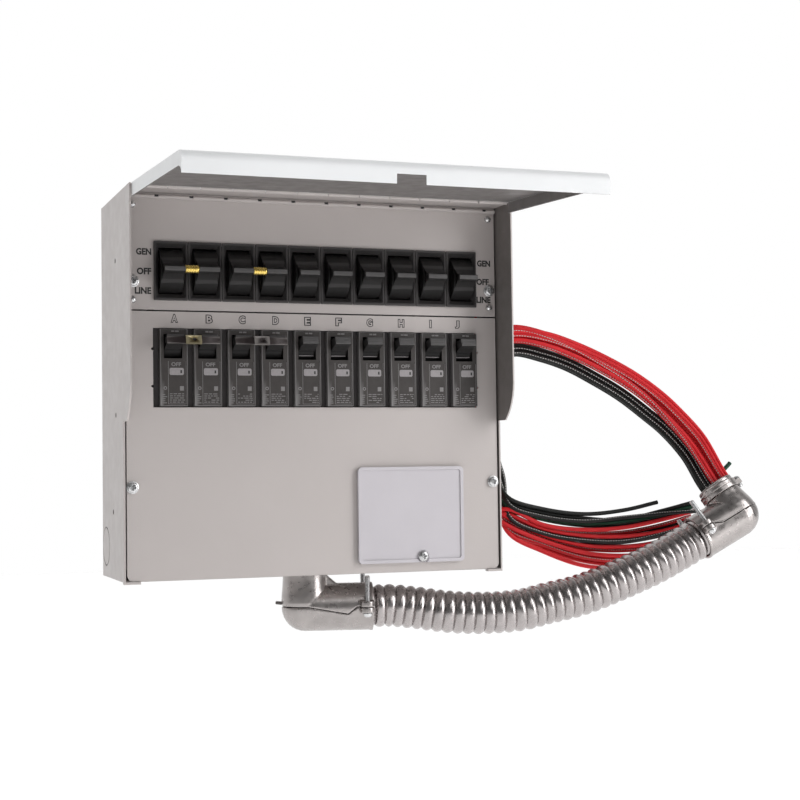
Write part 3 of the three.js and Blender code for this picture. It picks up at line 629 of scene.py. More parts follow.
def lead_points(route, lead, squeeze):
    """The points of one lead: beside its bundle's line, then out along its own fan."""
    _, across, front, drift, heights, front_in_fan = lead
    fan_from = next(
        i for i, p in enumerate(route) if i >= LOOP_END and p.x > FAN_START_X and p.z < FAN_START_Z)
    points = []
    for i, point in enumerate(route[:fan_from]):
        before, after = route[max(i - 1, 0)], route[i + 1]
        tangent = (after - before).normalized()
        deep = (Y - tangent * tangent.dot(Y)).normalized()
        inward = tangent.cross(deep)
        tight = 1.0 if NECK_END < i <= LOOP_END else squeeze
        shift = (across + drift * max(-1.0, min(1.0, (i - LOOP_MIDDLE) / DRIFT_SPAN))) * tight
        points.append(point + inward * shift * MM + deep * front * tight * MM)
    for x, z in zip(FAN_X, heights):
        y = -24 - 18 * (x - 180) / 150 + front_in_fan * 0.8
        ends_sooner = x > 300 and len(heights) < len(FAN_X)
        points.append(mm(x - SHORT_FAN_BACK if ends_sooner else x, y, z))
    return points


def add_lead(name, points, spacing, materials, slot, node):
    path, length = spline(points, spacing)
    bm = tube(bmesh.new(), path, WIRE_D / 2, 12, core=1)
    obj = place(new_object(name, bm, materials, smooth_angle=50), "cabinet", slot, node)
    return obj, path, length


def add_leads():
    for colour, route, leads, node, slot, squeeze in (
        ("red", RED_ROUTE, RED_LEADS, "red_leads", "red_pvc", 0.85),
        ("black", BLACK_ROUTE, BLACK_LEADS, "black_green_leads", "black_pvc", 1.0),
    ):
        for n, lead in enumerate(leads):
            add_lead(
                f"{colour}_lead_{n + 1}", lead_points(route, lead, squeeze), 4 * MM,
                [lead[0], "copper"], "green_pvc" if lead[0] == "green_wire" else slot, node)
    add_lead(
        "green_lead_stub", GREEN_ROUTE, 1.5 * MM, ["green_wire", "copper"], "green_pvc",
        "green_lead_end")


conduit, conduit_path, conduit_length = add_conduit()
add_leads()


# ---- cabinet, panels and lid ----
def long_edges(shortest):
    return lambda edge: edge.calc_length() > shortest * MM


def node_piece(node, name, material, slot, bevel, angle=40, smooth_angle=35):
    """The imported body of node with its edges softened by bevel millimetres."""
    bm = node_bmesh(node)
    bevel_sharp(bm, bevel, 2, angle)
    return place(new_object(name, bm, [material], smooth_angle), "cabinet", slot, node)


KNOCKOUT = mm(-147.5, -16, -119)
KNOCKOUT_RING = [(13.9, -1), (14.8, -1), (14.8, 0.5), (13.9, 0.5)]
DIMPLES = [mm(-147.5, -61, 93.4), mm(-147.5, -61, -20.7), mm(-147.5, -48, -92.3)]
DIMPLE = [(0, -1), (2.1, -1), (1.9, 0.6), (0, 0.7)]
WALL_INNER_X = 144 * MM


def add_cabinet():
    bm = node_bmesh("cabinet_shell")
    # the inner faces of the walls and ears get the dark grey of painted shade
    for face in bm.faces:
        x = face.calc_center_median().x
        if abs(face.normal.x) > 0.9 and face.normal.x * x < 0 and abs(x) > WALL_INNER_X:
            face.material_index = 1
    bevel_sharp(bm, 0.3, 2, 40, long_edges(9))
    obj = new_object("cabinet_folded_shell", bm, ["grey_paint", "shell_painted_shade"])
    # the scored ring of a knockout and three dimples in the left wall, their insides painted dark grey as
    # shade
    bm = bmesh.new()
    lathe(bm, KNOCKOUT_RING, KNOCKOUT, X, 64, closed=True)
    for centre in DIMPLES:
        lathe(bm, DIMPLE, centre, X, 20)
    for face in bm.faces:
        face.material_index = 1
    combine(obj, [new_object("wall_marks", bm, ["grey_paint", "shell_painted_shade"])])
    shade(obj, 35, flat_faces=True)
    place(obj, "cabinet", "grey_paint", "cabinet_shell")


SHEET_FLAT = 141.5 * MM
EDGE_CLEAR = 0.2  # the share of the strip outside SHEET_FLAT that is left open
NOTCHES, NOTCH_PITCH, NOTCH_SHIFT = 11, 25.9, 7
RIVET_DOME = [(0, 2.1), (1.1, 2.0), (2.0, 1.5), (2.6, 0.7), (2.75, 0.1), (2.75, -0.3), (0, -0.3)]


def add_panels():
    for node in ("switch_panel", "breaker_cover"):
        bm = node_bmesh(node)
        for vert in bm.verts:
            # the outer edges stand a little clear of the walls
            beyond = max(abs(vert.co.x) - SHEET_FLAT, 0)
            vert.co.x -= math.copysign(beyond * EDGE_CLEAR, vert.co.x)
        bevel_sharp(bm, 0.25, 2, 40, long_edges(4))
        sheet = new_object(f"{node}_sheet", bm, ["grey_paint"], flat_faces=True)
        place(sheet, "cabinet", "grey_paint", node)
    # behind the rolled top edge the panel turns up to the hood, and black prisms in its notches are
    # painted shade
    bm = block(bmesh.new(), mm(-145.6, -89.7, 137), mm(145.6, -88.7, 140.6))
    place(new_object("panel_top_return", bm, ["grey_paint"]), "cabinet", "grey_paint")
    bm = bmesh.new()
    for i in range(NOTCHES):
        x = (i - (NOTCHES - 1) / 2) * NOTCH_PITCH + NOTCH_SHIFT
        corners = ((x - 1.9, 139.0), (x + 1.9, 139.0), (x + 1.0, 137.7), (x - 1.0, 137.7))
        prism(bm, [mm(a, -91.6, b) for a, b in corners], mm(0, 1.9, 0))
    place(new_object("panel_notch_shade", bm, ["black_print_and_shade"]), "cabinet", "black_plastic")
    bm = node_bmesh("inlet_cover_plate")
    bevel_sharp(bm, 0.45, 3, 40)
    plate = new_object("inlet_cover_moulding", bm, ["plate"], flat_faces=True)
    place(plate, "cabinet", "plate_plastic", "inlet_cover_plate")
    bm = bmesh.new()
    for x in (-140, 140):
        for z in (62, 131.6):
            lathe(bm, RIVET_DOME, mm(x, -90, z), -Y, 28)
    place(new_object("panel_rivets", bm, ["zinc"]), "cabinet", "zinc_plated_steel")


# The lid is level and its hinge is the origin in the axes that the lengths below are given in.
LID_DIP = math.radians(2.7)
HINGE = mm(0, -118.4, 140.4)
LID_LEVEL = Matrix.Rotation(-LID_DIP, 4, "X") @ Matrix.Translation(-HINGE)
LID_L = 168.4 * MM
LID_TOP = 1.6 * MM
LID_WALL_X = 145.3 * MM
LIP_DEPTH = 3.2 * MM
KNUCKLE_REACH = 2.4 * MM
FOLD_R = 3 * MM
FOLD_EXTRA = 4.5 * MM


def widen_bend(bm):
    """Gives the fold between the lid's top and its front lip a rounder bend, inside and out."""
    back = LID_LEVEL.inverted()
    centre_y, centre_z = FOLD_R - LID_L, LID_TOP - FOLD_R
    for vert in bm.verts:
        at = LID_LEVEL @ vert.co
        y, z = at.y - centre_y, at.z - centre_z
        if y < 0.01 * MM and z > -0.01 * MM:
            grow = 1 + FOLD_EXTRA / math.hypot(y, z)
            at.y = centre_y + FOLD_EXTRA + y * grow
            at.z = centre_z - FOLD_EXTRA + z * grow
            vert.co = back @ at


def add_lid():
    """White paint outside, and the inside that the open lid turns down painted darker as shade."""
    bm = node_bmesh("lid")
    for face in bm.faces:
        middle = LID_LEVEL @ face.calc_center_median()
        normal = LID_LEVEL.to_3x3() @ face.normal
        side_wall = abs(normal.x) > 0.5 and normal.x * middle.x > 0 and abs(middle.x) > LID_WALL_X
        front = normal.y < -0.1 and middle.y < LIP_DEPTH - LID_L and normal.z > -0.3
        outside = side_wall or front or normal.z > 0.1
        # faces that are not outside get the darker grey of painted shade
        face.material_index = 0 if outside else 1
        if middle.y > -KNUCKLE_REACH and not side_wall:
            face.material_index = 2
    widen_bend(bm)
    bevel_sharp(bm, 0.3, 2, 40, long_edges(6))
    paint_and_shade = ["lid_outside", "lid_inside_painted_shade", "grey_paint"]
    place(new_object("lid_folded_sheet", bm, paint_and_shade, flat_faces=True), "lid", "white_paint", "lid")
    node_piece("lid_hinge_rod", "hinge_rod", "zinc", "zinc_plated_steel", 0.12, 60, 50)


def cross_recess(centre, out, size, depth, turn):
    """The two cutters of a cross recess that goes depth millimetres into a head, whose top is at
    centre. size is the length of its arms there."""
    across = Matrix.Rotation(turn, 3, out) @ out.orthogonal().normalized()
    cutters = []
    for n in range(2):
        bm = bmesh.new()
        along = Matrix.Rotation(n * math.pi / 2, 3, out) @ across
        aside = out.cross(along)
        rings = []
        for height, half_length, half_width in ((0.3, 0.5, 0.14), (-depth, 0.3, 0.1)):
            rings.append([
                bm.verts.new(
                    centre + out * height * MM + along * (sx * size * half_length * MM)
                    + aside * (sy * size * half_width * MM))
                for sx, sy in ((-1, -1), (1, -1), (1, 1), (-1, 1))])
        top, low = rings
        bm.faces.new(top)
        bm.faces.new(list(reversed(low)))
        for k in range(4):
            after = (k + 1) % 4
            bm.faces.new((top[k], low[k], low[after], top[after]))
        cutters.append(new_object("recess", bm, []))
    return cutters


HEX_WASHER = [(0, 0.9), (4.4, 0.85), (4.95, 0.6), (5.0, 0.3), (4.9, 0), (1.9, 0)]
HEX_HEAD = [(0, 3.35), (2.9, 3.3), (3.75, 3.0), (4.2, 2.5), (4.2, 0.4), (0, 0.4)]
ROUND_HEAD = [(0, 3.3), (1.8, 3.2), (3.4, 2.6), (4.4, 1.6), (4.75, 0.7), (4.8, 0), (1.9, 0)]
SHANK = [(1.9, -8), (1.4, -9), (0, -9)]


def screw(name, node, seat, scale, turn, hexagon=True):
    """A zinc screw in the front with a cross recess: a hex-washer head, or a round one."""
    def sized(profile):
        return [(r * scale, h * scale) for r, h in profile]

    head = HEX_WASHER if hexagon else ROUND_HEAD
    obj = turned(name, sized(head) + SHANK, seat, -Y, 40, ["zinc"], 30)
    if hexagon:
        flat = Matrix.Rotation(turn, 3, -Y) @ Z
        bm = lathe(bmesh.new(), sized(HEX_HEAD), seat, -Y, 6, start=flat)
        bevel_sharp(bm, 0.2 * scale, 2, 30)
        combine(obj, [new_object("hex", bm, ["zinc"])], "UNION")
    head_top = seat - Y * 3.3 * scale * MM
    combine(obj, cross_recess(head_top, -Y, 5.0 * scale, 1.7 * scale, turn + 0.4))
    return place(shade(obj), "cabinet", "zinc_plated_steel", node)


def add_front_screws():
    for side, word, turn in ((-1, "left", 0.2), (1, "right", 0.75)):
        for kind, x, z, more in (("cover", 141, -74, 0), ("panel", 140, 75.4, 0.35)):
            node = f"{kind}_screw_{word}"
            screw(f"{node}_hex", node, mm(side * x, -90.3, z), 0.9, turn + more)
    screw("plate_screw_round", "plate_screw", mm(81.2, -92.9, -130), 0.92, 0.5, hexagon=False)


# ---- print ----
PROUD = 0.05 * MM  # how far print stands on its surface


def add_text(bm, word, centre, height, width, outlined=0.0, weight=0.045):
    """Letters on a plane that faces the front, thickened a little so that they are solids."""
    data_depth = 0.01
    data = bpy.data.curves.new(word, "FONT")
    data.body = word
    data.size = 1
    data.resolution_u = 3
    data.offset = weight
    if outlined:
        data.fill_mode = "NONE"
        data.bevel_depth = outlined / height * 0.7
        data.bevel_resolution = 1
    else:
        data.extrude = data_depth
    temporary = linked(bpy.data.objects.new(word, data))
    bpy.context.view_layer.update()
    depsgraph = bpy.context.evaluated_depsgraph_get()
    mesh = bpy.data.meshes.new_from_object(temporary.evaluated_get(depsgraph))
    bpy.data.objects.remove(temporary)
    xs = [v.co.x for v in mesh.vertices]
    ys = [v.co.y for v in mesh.vertices]
    middle_x, middle_y = (min(xs) + max(xs)) / 2, (min(ys) + max(ys)) / 2
    scale_x, scale_y = width / (max(xs) - min(xs)), height / (max(ys) - min(ys))
    depth = scale_y * 0.5 if outlined else PROUD / data_depth
    for v in mesh.vertices:
        x, y, z = v.co
        v.co = centre + Vector(((x - middle_x) * scale_x, -z * depth, (y - middle_y) * scale_y))
    bm.from_mesh(mesh)
    bpy.data.meshes.remove(mesh)


PANEL_Y = -90
FIRST_LETTER_X, LAST_LETTER_X = -110.1, 113.3
FIRST_LETTER_Z, LETTERS_DROP = 48.9, 0.6
# How far each circuit letter stands right of its even place, in millimetres.
LETTER_SHIFTS = (0.5, 1.7, 1.7, 2.6, 2.6, 2.3, 2.3, 3.0, 2.3, -0.3)
NARROW_LETTERS = {"I": 2.2, "J": 4.2}
# (word, width, x and z on the left side, x and z on the right side)
LEGENDS = (
    ("GEN", 11.2, (-131.8, 97.2), (136.1, 96.7)),
    ("OFF", 10.6, (-131.6, 82.9), (135.0, 82.2)),
    ("LINE", 12.0, (-132.4, 68.7), (135.6, 68.1)))


def add_print():
    bm = bmesh.new()
    for word, width, *places in LEGENDS:
        for x, z in places:
            add_text(bm, word, mm(x, PANEL_Y, z), 5 * MM, width * MM)
    place(new_object("panel_legends", bm, ["black_print_and_shade"]), "cabinet", "black_plastic")
    bm = bmesh.new()
    for i, letter in enumerate(CIRCUITS.upper()):
        share = i / 9
        x = FIRST_LETTER_X + (LAST_LETTER_X - FIRST_LETTER_X) * share + LETTER_SHIFTS[i]
        centre = mm(x, PANEL_Y, FIRST_LETTER_Z - LETTERS_DROP * share)
        width = NARROW_LETTERS.get(letter, 5.4)
        add_text(bm, letter, centre, 6.6 * MM, width * MM, outlined=0.4 * MM, weight=0.06)
    place(new_object("circuit_letters", bm, ["black_print_and_shade"]), "cabinet", "black_plastic")


add_cabinet()
add_panels()
add_lid()
add_front_screws()
add_print()


# ---- switches ----
SWITCH_Z = 83.5 * MM
TOGGLE_Y = -82 * MM
HOUSING_W, HOUSING_H = 24.9 * MM, 43.4 * MM
# Millimetres: the opening's half width and height and its y, from its floor out to the front edge.
OPENING = ((8.95, 17.1, -62), (8.95, 17.1, -89.7), (10.7, 19.5, -91.75), (11.0, 19.8, -92))
# The outline's share of its width and height at each y, from the front edge to the back.
FRONT_EDGE = (
    (1 - 0.35 / 12.4, 1 - 0.35 / 21.7, -92), (1, 1, -91.6), (1, 1, -90.3), (0.94, 0.91, -90.3),
    (0.94, 0.91, -56.5))


def add_switch_bank():
    """Ten housings side by side, each with a mitred opening down to its toggle."""
    bm = bmesh.new()
    for i in range(10):
        centre = Vector((circuit_x(i), 0, SWITCH_Z))
        rings = []
        for half_w, half_h, y in OPENING:
            ring = rounded_outline(centre, 2 * half_w * MM, 2 * half_h * MM, 0.6 * MM, steps=2)
            rings.append([p + Y * y * MM for p in ring])
        outer = rounded_outline(centre, HOUSING_W, HOUSING_H, 0.5 * MM, steps=2)
        for across, up, y in FRONT_EDGE:
            rings.append([
                Vector((centre.x + (p.x - centre.x) * across, y * MM, centre.z + (p.z - centre.z) * up))
                for p in outer])
        made = [[bm.verts.new(p) for p in ring] for ring in rings]
        for a, b in zip(made, made[1:]):
            for k in range(len(a)):
                n = (k + 1) % len(a)
                bm.faces.new((a[k], a[n], b[n], b[k]))
        bm.faces.new(made[0])
        bm.faces.new(list(reversed(made[-1])))
    bank = new_object("switch_housings", bm, ["bezel"], 25)
    place(bank, "cabinet", "black_plastic", "switch_bank")


DRUM_EDGE = 0.5
FIN_FROM = math.radians(30)  # where the fin leaves the drum, up and down from the front
TIP_R = 1
RIB_PITCH = 1.3


def finned_drum(name, material, drum_r, reach, root_half, tip_half, drum_w, fin_w, ribs=0):
    """A drum about the X axis with a finger grip that flows out of it to -Y, centred on its pivot.
    All sizes are in millimetres."""
    half = drum_w / 2
    profile = [
        (0, -half), (drum_r - DRUM_EDGE, -half), (drum_r - 0.15, -half + 0.15),
        (drum_r, -half + DRUM_EDGE), (drum_r, half - DRUM_EDGE), (drum_r - 0.15, half - 0.15),
        (drum_r - DRUM_EDGE, half), (0, half)]
    drum = turned(name, profile, Vector(), X, 72, [material], 30)
    # the fin's upper half: a curve off the drum, then the round of the tip
    from_drum = (-drum_r * math.cos(FIN_FROM), drum_r * math.sin(FIN_FROM))
    bend = (-drum_r - 0.5, root_half + 1.0)
    onto_fin = (-drum_r - (reach - drum_r) * 0.55, root_half * 0.45 + tip_half * 0.55)
    upper = [(-drum_r * 0.6, from_drum[1])]
    for k in range(9):
        t = k / 8
        upper.append(tuple(
            (1 - t) ** 2 * a + 2 * t * (1 - t) * b + t * t * c
            for a, b, c in zip(from_drum, bend, onto_fin)))
    for k in range(5):
        a = math.radians(90 - 90 * k / 4)
        upper.append((-reach + TIP_R - math.cos(a) * TIP_R, tip_half - TIP_R + math.sin(a) * TIP_R))
    outline = upper + [(y, -z) for y, z in reversed(upper)]
    bm = prism(bmesh.new(), [mm(-fin_w / 2, y, z) for y, z in outline], mm(fin_w, 0, 0))
    bevel_sharp(bm, 0.45, 3, 50)
    for k in range(ribs):
        z = (k - (ribs - 1) / 2) * RIB_PITCH
        block(bm, mm(-fin_w / 2 + 1, -reach - 0.28, z - 0.3), mm(fin_w / 2 - 1, -reach + 0.6, z + 0.3))
    combine(drum, [new_object("fin", bm, [material], 30)], "UNION")
    # the grip's front faces get the lighter black of a painted highlight
    drum.data.materials.append(MATERIALS["fin_tip_highlight"])
    for polygon in drum.data.polygons:
        polygon.material_index = 1 if polygon.center.y < (0.3 - reach) * MM else 0
    return shade(drum, 30, flat_faces=True)


def moved_copy(source, name, offset, turn=0.0):
    """A copy of a piece drawn at the origin, turned about X and moved to its place."""
    mesh = source.data.copy()
    mesh.transform(Matrix.Translation(offset) @ Matrix.Rotation(turn, 4, "X"))
    return linked(bpy.data.objects.new(name, mesh))


def add_toggles():
    toggle = finned_drum("toggle", "black", 17, 25.3, 3.4, 1.9, 17.2, 15.0)
    for i, letter in enumerate(CIRCUITS):
        node = f"toggle_{letter}"
        piece = moved_copy(toggle, f"{node}_rocker", Vector((circuit_x(i), TOGGLE_Y, SWITCH_Z)))
        place(piece, body_of(node), "black_plastic", node)
    bpy.data.objects.remove(toggle)
    # the two brass pins, each with five turned grooves
    for pair in PAIRS:
        node = f"toggle_tie_pin_{pair}"
        low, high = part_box(node)
        length = (high[0] - low[0]) / MM
        profile = [(0, 0), (2.5, 0), (2.95, 0.4)]
        for k in range(5):
            at = 1.3 + k * (length - 2.6) / 4
            profile += [(3.05, at - 0.5), (2.72, at - 0.25), (2.72, at + 0.25), (3.05, at + 0.5)]
        profile += [(2.95, length - 0.4), (2.5, length), (0, length)]
        start = Vector((low[0], (low[1] + high[1]) / 2, (low[2] + high[2]) / 2))
        pin = turned(f"{node}_turned", profile, start, X, 32, ["brass"], 40)
        place(pin, body_of(node), "brass", node)


# ---- breakers ----
# The plain numbers are in millimetres.
HANDLE_TILT = math.radians(-16)
HANDLE_SHIFT = 0.95
HANDLE_LINE_TURN = math.radians(57)
HANDLE_PIVOT = mm(0, -83.5, 28.2)
SLOT_HALF, SLOT_LOW, SLOT_HIGH = 6.85, 19.4, 37.2
NOSE_Y = -92.8
FACE_Y = -92.4  # the printed face is let in behind the nose's rim


def breaker_case():
    bm = block(bmesh.new(), mm(-12.4, -86.5, -29), mm(12.4, -29.8, 57))
    bevel_sharp(bm, 0.5, 2)
    case = new_object("case", bm, ["breaker"])
    bm = block(bmesh.new(), mm(-8.5, NOSE_Y, -15.3), mm(11.6, -85, 40.9))
    bevel_sharp(bm, 0.45, 3)
    combine(case, [new_object("nose", bm, ["breaker"])], "UNION")
    # the handle's slot, the let-in face beside the left column, and the step over the handle
    bm = bmesh.new()
    left, right = HANDLE_SHIFT - SLOT_HALF, HANDLE_SHIFT + SLOT_HALF
    block(bm, mm(left, -95, SLOT_LOW), mm(right, -74.4, SLOT_HIGH))
    block(bm, mm(-2.8, -95, -14.2), mm(10.7, FACE_Y, 17.6))
    block(bm, mm(-7.4, -95, 38.2), mm(10.5, -92.5, 40.3))
    combine(case, [new_object("slot", bm, [])])
    # the slot's walls and the case behind the nose get a darker black as painted shade
    case.data.materials.append(MATERIALS["shoulder"])
    for polygon in case.data.polygons:
        x, y, z = polygon.center / MM
        across = abs(x - HANDLE_SHIFT) < SLOT_HALF + 0.05
        in_slot = across and SLOT_LOW - 0.1 < z < SLOT_HIGH + 0.1 and y > -92
        polygon.material_index = 1 if y > -87 or in_slot else 0
    return shade(case, 30, flat_faces=True)


# left, right, bottom and top of the plain bars: the face's three borders, pale lines on the let-in face's
# edges as painted highlight, and its printed square
FACE_BORDER_HIGHLIGHTS_AND_SQUARE = (
    (-2.75, -2.4, -14, 17.4), (10.3, 10.65, -14, 17.4), (-2.4, 10.3, -13.9, -13.6),
    (5.9, 8.8, -4.0, -0.8))
STEP_BARS = ((-0.3, 2.0, 38.7, 39.8), (2.5, 5.2, 38.7, 39.8))
DOT_RING = [(0.7, -0.05), (1.3, -0.05), (1.3, 0.05), (0.7, 0.05)]
ROWS, ROW_TOP, ROW_PITCH, ROW_HALF = 5, -6.4, 1.5, 0.28
ROW_START, ROW_END, ROW_GAP = -1.5, 9.0, 0.7


def add_breaker_print_and_highlights(bm, labels, x, rng):
    """Generic marks: OFF, a label, a ring, a square and rows of short bars in place of small print, and
    pale borders on the let-in face's edges as painted highlight.
    """
    def bar(x0, x1, z0, z1, y=FACE_Y):
        block(bm, mm(x + x0, y - 0.06, z0), mm(x + x1, y + 0.05, z1))

    add_text(bm, "OFF", mm(x + 3.3, FACE_Y, 15.2), 2.9 * MM, 7.2 * MM, weight=0.03)
    label = rounded_outline(mm(x + 3.6, FACE_Y + 0.05, 9.9), 10.5 * MM, 5.2 * MM, 1.1 * MM, steps=3)
    prism(labels, label, mm(0, -0.12, 0))
    for edges in FACE_BORDER_HIGHLIGHTS_AND_SQUARE:
        bar(*edges)
    lathe(bm, DOT_RING, mm(x - 4.9, NOSE_Y, -2.2), -Y, 20, closed=True)
    for row in range(ROWS):
        z = ROW_TOP - row * ROW_PITCH
        at = ROW_START
        while at < ROW_END:
            step = rng.uniform(1.2, 3.4)
            if rng.random() < 0.8:
                bar(at, min(at + step, ROW_END + 0.6), z - ROW_HALF, z + ROW_HALF)
            at += step + ROW_GAP
        # a bar on the column to the left, a little lower
        bar(-7.1, -7.1 + rng.uniform(2.0, 3.6), z - 0.6 - ROW_HALF, z - 0.6 + ROW_HALF, NOSE_Y)
    for edges in STEP_BARS:
        bar(*edges, -92.5)


def pale_lined_handle(handle):
    """The handle with a pale line across its drum, under the grip."""
    lined_handle = moved_copy(handle, "pale_lined_handle", Vector())
    bm = block(bmesh.new(), mm(-5.6, -8.56, -0.4), mm(5.6, -8.2, 0.4))
    bm.transform(Matrix.Rotation(HANDLE_LINE_TURN, 4, "X"))
    for face in bm.faces:
        face.material_index = 2
    bm.from_mesh(lined_handle.data)
    bm.to_mesh(lined_handle.data)
    bm.free()
    lined_handle.data.materials.append(MATERIALS["label"])
    return lined_handle


def add_breakers():
    rng = random.Random(7)
    case = breaker_case()
    handle = finned_drum("handle", "handle", 8.5, 20, 3, 3.1, 12.6, 12, ribs=3)
    lined_handle = pale_lined_handle(handle)
    marks, labels, dots = bmesh.new(), bmesh.new(), bmesh.new()
    for i, letter in enumerate(CIRCUITS):
        at = Vector((circuit_x(i), 0, 0))
        piece = moved_copy(case, f"breaker_{letter}_case", at)
        place(piece, "cabinet", "breaker_plastic", f"breaker_{letter}")
        node = f"breaker_handle_{letter}"
        pivot = at + HANDLE_PIVOT + X * HANDLE_SHIFT * MM
        piece = moved_copy(lined_handle if letter in UNTIED else handle, f"{node}_grip", pivot, HANDLE_TILT)
        place(piece, body_of(node), "black_plastic", node)
        x = circuit_x(i) / MM
        add_breaker_print_and_highlights(marks, labels, x, rng)
        block(dots, mm(x + 6.3, FACE_Y - 0.13, 8.7), mm(x + 7.5, FACE_Y, 10.9))
    for drawn_once in (case, handle, lined_handle):
        bpy.data.objects.remove(drawn_once)
    for name, bm, ink in (
        ("breaker_marks", marks, "pale_print_and_highlight"), ("breaker_labels", labels, "label"),
        ("label_dots", dots, "black_print_and_shade"),
    ):
        place(new_object(name, bm, [ink]), "cabinet", "breaker_plastic")


TIE_Y, TIE_DROP = -20.3, 2
# (in front of TIE_Y, height over the tie's middle)
TIE_SECTION = ((0, -2.6), (1.3, -2.6), (1.4, -2.2), (1.1, 0.6), (1.4, 1.6), (1.3, 2.6), (0, 2.6))
EYELET = [(0, -0.6), (1.5, -0.6), (1.5, 3), (0, 3)]


def add_handle_ties():
    """A folded steel bar clipped over each pair of handles, with an eyelet at its middle."""
    for pair, metal, slot in zip(PAIRS, ("dull_brass", "dark_steel"), ("brass", "zinc_plated_steel")):
        node = f"handle_tie_{pair}"
        section = [mm(-19.5, TIE_Y - front, z - TIE_DROP) for front, z in TIE_SECTION]
        bm = prism(bmesh.new(), section, mm(39, 0, 0))
        bevel_sharp(bm, 0.15, 2, 30)
        bar = new_object("bar", bm, ["dark_steel", metal], 30)
        bm = bmesh.new()
        block(bm, mm(-5.8, TIE_Y - 2.2, -3.2 - TIE_DROP), mm(5.8, TIE_Y - 0.6, 3.2 - TIE_DROP))
        bevel_sharp(bm, 0.5, 3)
        clip = new_object("clip", bm, [metal], 30)
        hole_at = mm(0.6, TIE_Y - 1.4, 0.2 - TIE_DROP)
        combine(clip, [turned("eyelet", EYELET, hole_at, -Y, 28, ["dark_steel"])])
        combine(bar, [clip], "UNION")
        first = CIRCUITS.index(pair[0])
        middle = (circuit_x(first) + circuit_x(first + 1)) / 2 + HANDLE_SHIFT * MM
        tie = moved_copy(bar, f"{node}_clip", HANDLE_PIVOT + X * middle, HANDLE_TILT)
        bpy.data.objects.remove(bar)
        place(tie, body_of(node), slot, node)


add_switch_bank()
add_toggles()
add_breakers()
add_handle_ties()


# ---- connectors ----
# All numbers are in millimetres in a connector's own axes.
LUG_INSET, LUG_HALF, LUG_OUT, LUG_SCREW_Y = 5.5, 5.5, 26.5, 22.5
CORNER_R = 18.3
HALF_GAP = 0.2  # half of the gap at the parting line
FAR = 100  # a length beyond the casting's ends


def connector_housing(neck, socket, bore_top, gusset):
    """The whole casting in its own axes, hollow, before it is parted."""
    housing = turned("housing", neck, Vector(), Z, 64, ["cast"])
    angles = [math.pi * k / 16 for k in range(17)]
    ball = [(CORNER_R * math.sin(a), -CORNER_R * math.cos(a)) for a in angles]
    barrel = [
        (0, -1), (CORNER_R, -1), (CORNER_R, socket - 2.4), (18.7, socket - 1.8), (18.7, socket),
        (0, socket)]
    parts = [turned(name, profile, Vector(), X, 64, ["cast"])
             for name, profile in (("corner", ball), ("socket", barrel))]
    web = [
        (-2, 0), (-2, gusset), (12, gusset), (16.2, gusset), (16.2 + gusset * 0.34, 17.8),
        (socket * 0.6, 0)]
    bm = prism(bmesh.new(), [mm(x, -7.5, z) for x, z in web], mm(0, 15, 0))
    bevel_sharp(bm, 3, 3, 60)
    parts.append(new_object("web", bm, ["cast"]))
    for side in (-1, 1):
        centre = mm(socket - LUG_INSET, side * (LUG_OUT - LUG_HALF), -3.5)
        outline = arc(centre, X, Y * side, LUG_HALF * MM, 0, 180, 10)
        outline += [centre + mm(-LUG_HALF, -side * 9, 0), centre + mm(LUG_HALF, -side * 9, 0)]
        parts.append(new_object("lug", prism(bmesh.new(), outline, mm(0, 0, 9)), ["cast"]))
    combine(housing, parts, "UNION")
    neck_top, socket_end = bore_top + 3, socket + 3
    neck_bore = [(0, -14), (8, -12), (12.5, -6), (14, 0), (14.3, 2), (14.3, neck_top), (0, neck_top)]
    socket_bore = [(0, -2), (14.3, -2), (14.3, 14), (16.6, 15), (16.6, socket_end), (0, socket_end)]
    tools = [turned("bore", profile, Vector(), axis, 48, [])
             for profile, axis in ((neck_bore, Z), (socket_bore, X))]
    for side in (-1, 1):
        hole_at = mm(socket - LUG_INSET, side * LUG_SCREW_Y, 0)
        tools.append(turned("hole", [(0, -12), (2.3, -12), (2.3, 12), (0, 12)], hole_at, Z, 20, []))
    return combine(housing, tools)


def cast_piece(housing, name, axes, line, above, node):
    """One side of the parting line, with the soft edges of a casting."""
    shift, other = (HALF_GAP, -FAR) if above else (-HALF_GAP, FAR)
    outline = [mm(x, -FAR, z + shift) for x, z in line] + [mm(90, -FAR, other), mm(-40, -FAR, other)]
    half = new_object("half", prism(bmesh.new(), outline, mm(0, 2 * FAR, 0)), [])
    piece = combine(linked(bpy.data.objects.new(name, housing.data.copy())), [half])
    remesh = piece.modifiers.new("remesh", "REMESH")
    remesh.mode = "VOXEL"
    remesh.voxel_size = 0.6 * MM
    smooth = piece.modifiers.new("smooth", "SMOOTH")
    smooth.factor = 0.5
    smooth.iterations = 3
    apply_modifiers(piece)
    piece.data.transform(axes)
    piece.data.materials.clear()
    piece.data.materials.append(MATERIALS["cast"])
    for polygon in piece.data.polygons:
        polygon.use_smooth = True
    return place(piece, "cabinet", "die_cast_zinc", node)


CLAMP_HEAD = [(0, 3.0), (1.6, 2.85), (2.8, 2.2), (3.5, 1.1), (3.6, 0), (2.0, 0)]
THREAD_R, THREAD_ROOT_R, THREAD_PITCH = 2.05, 1.72, 0.9


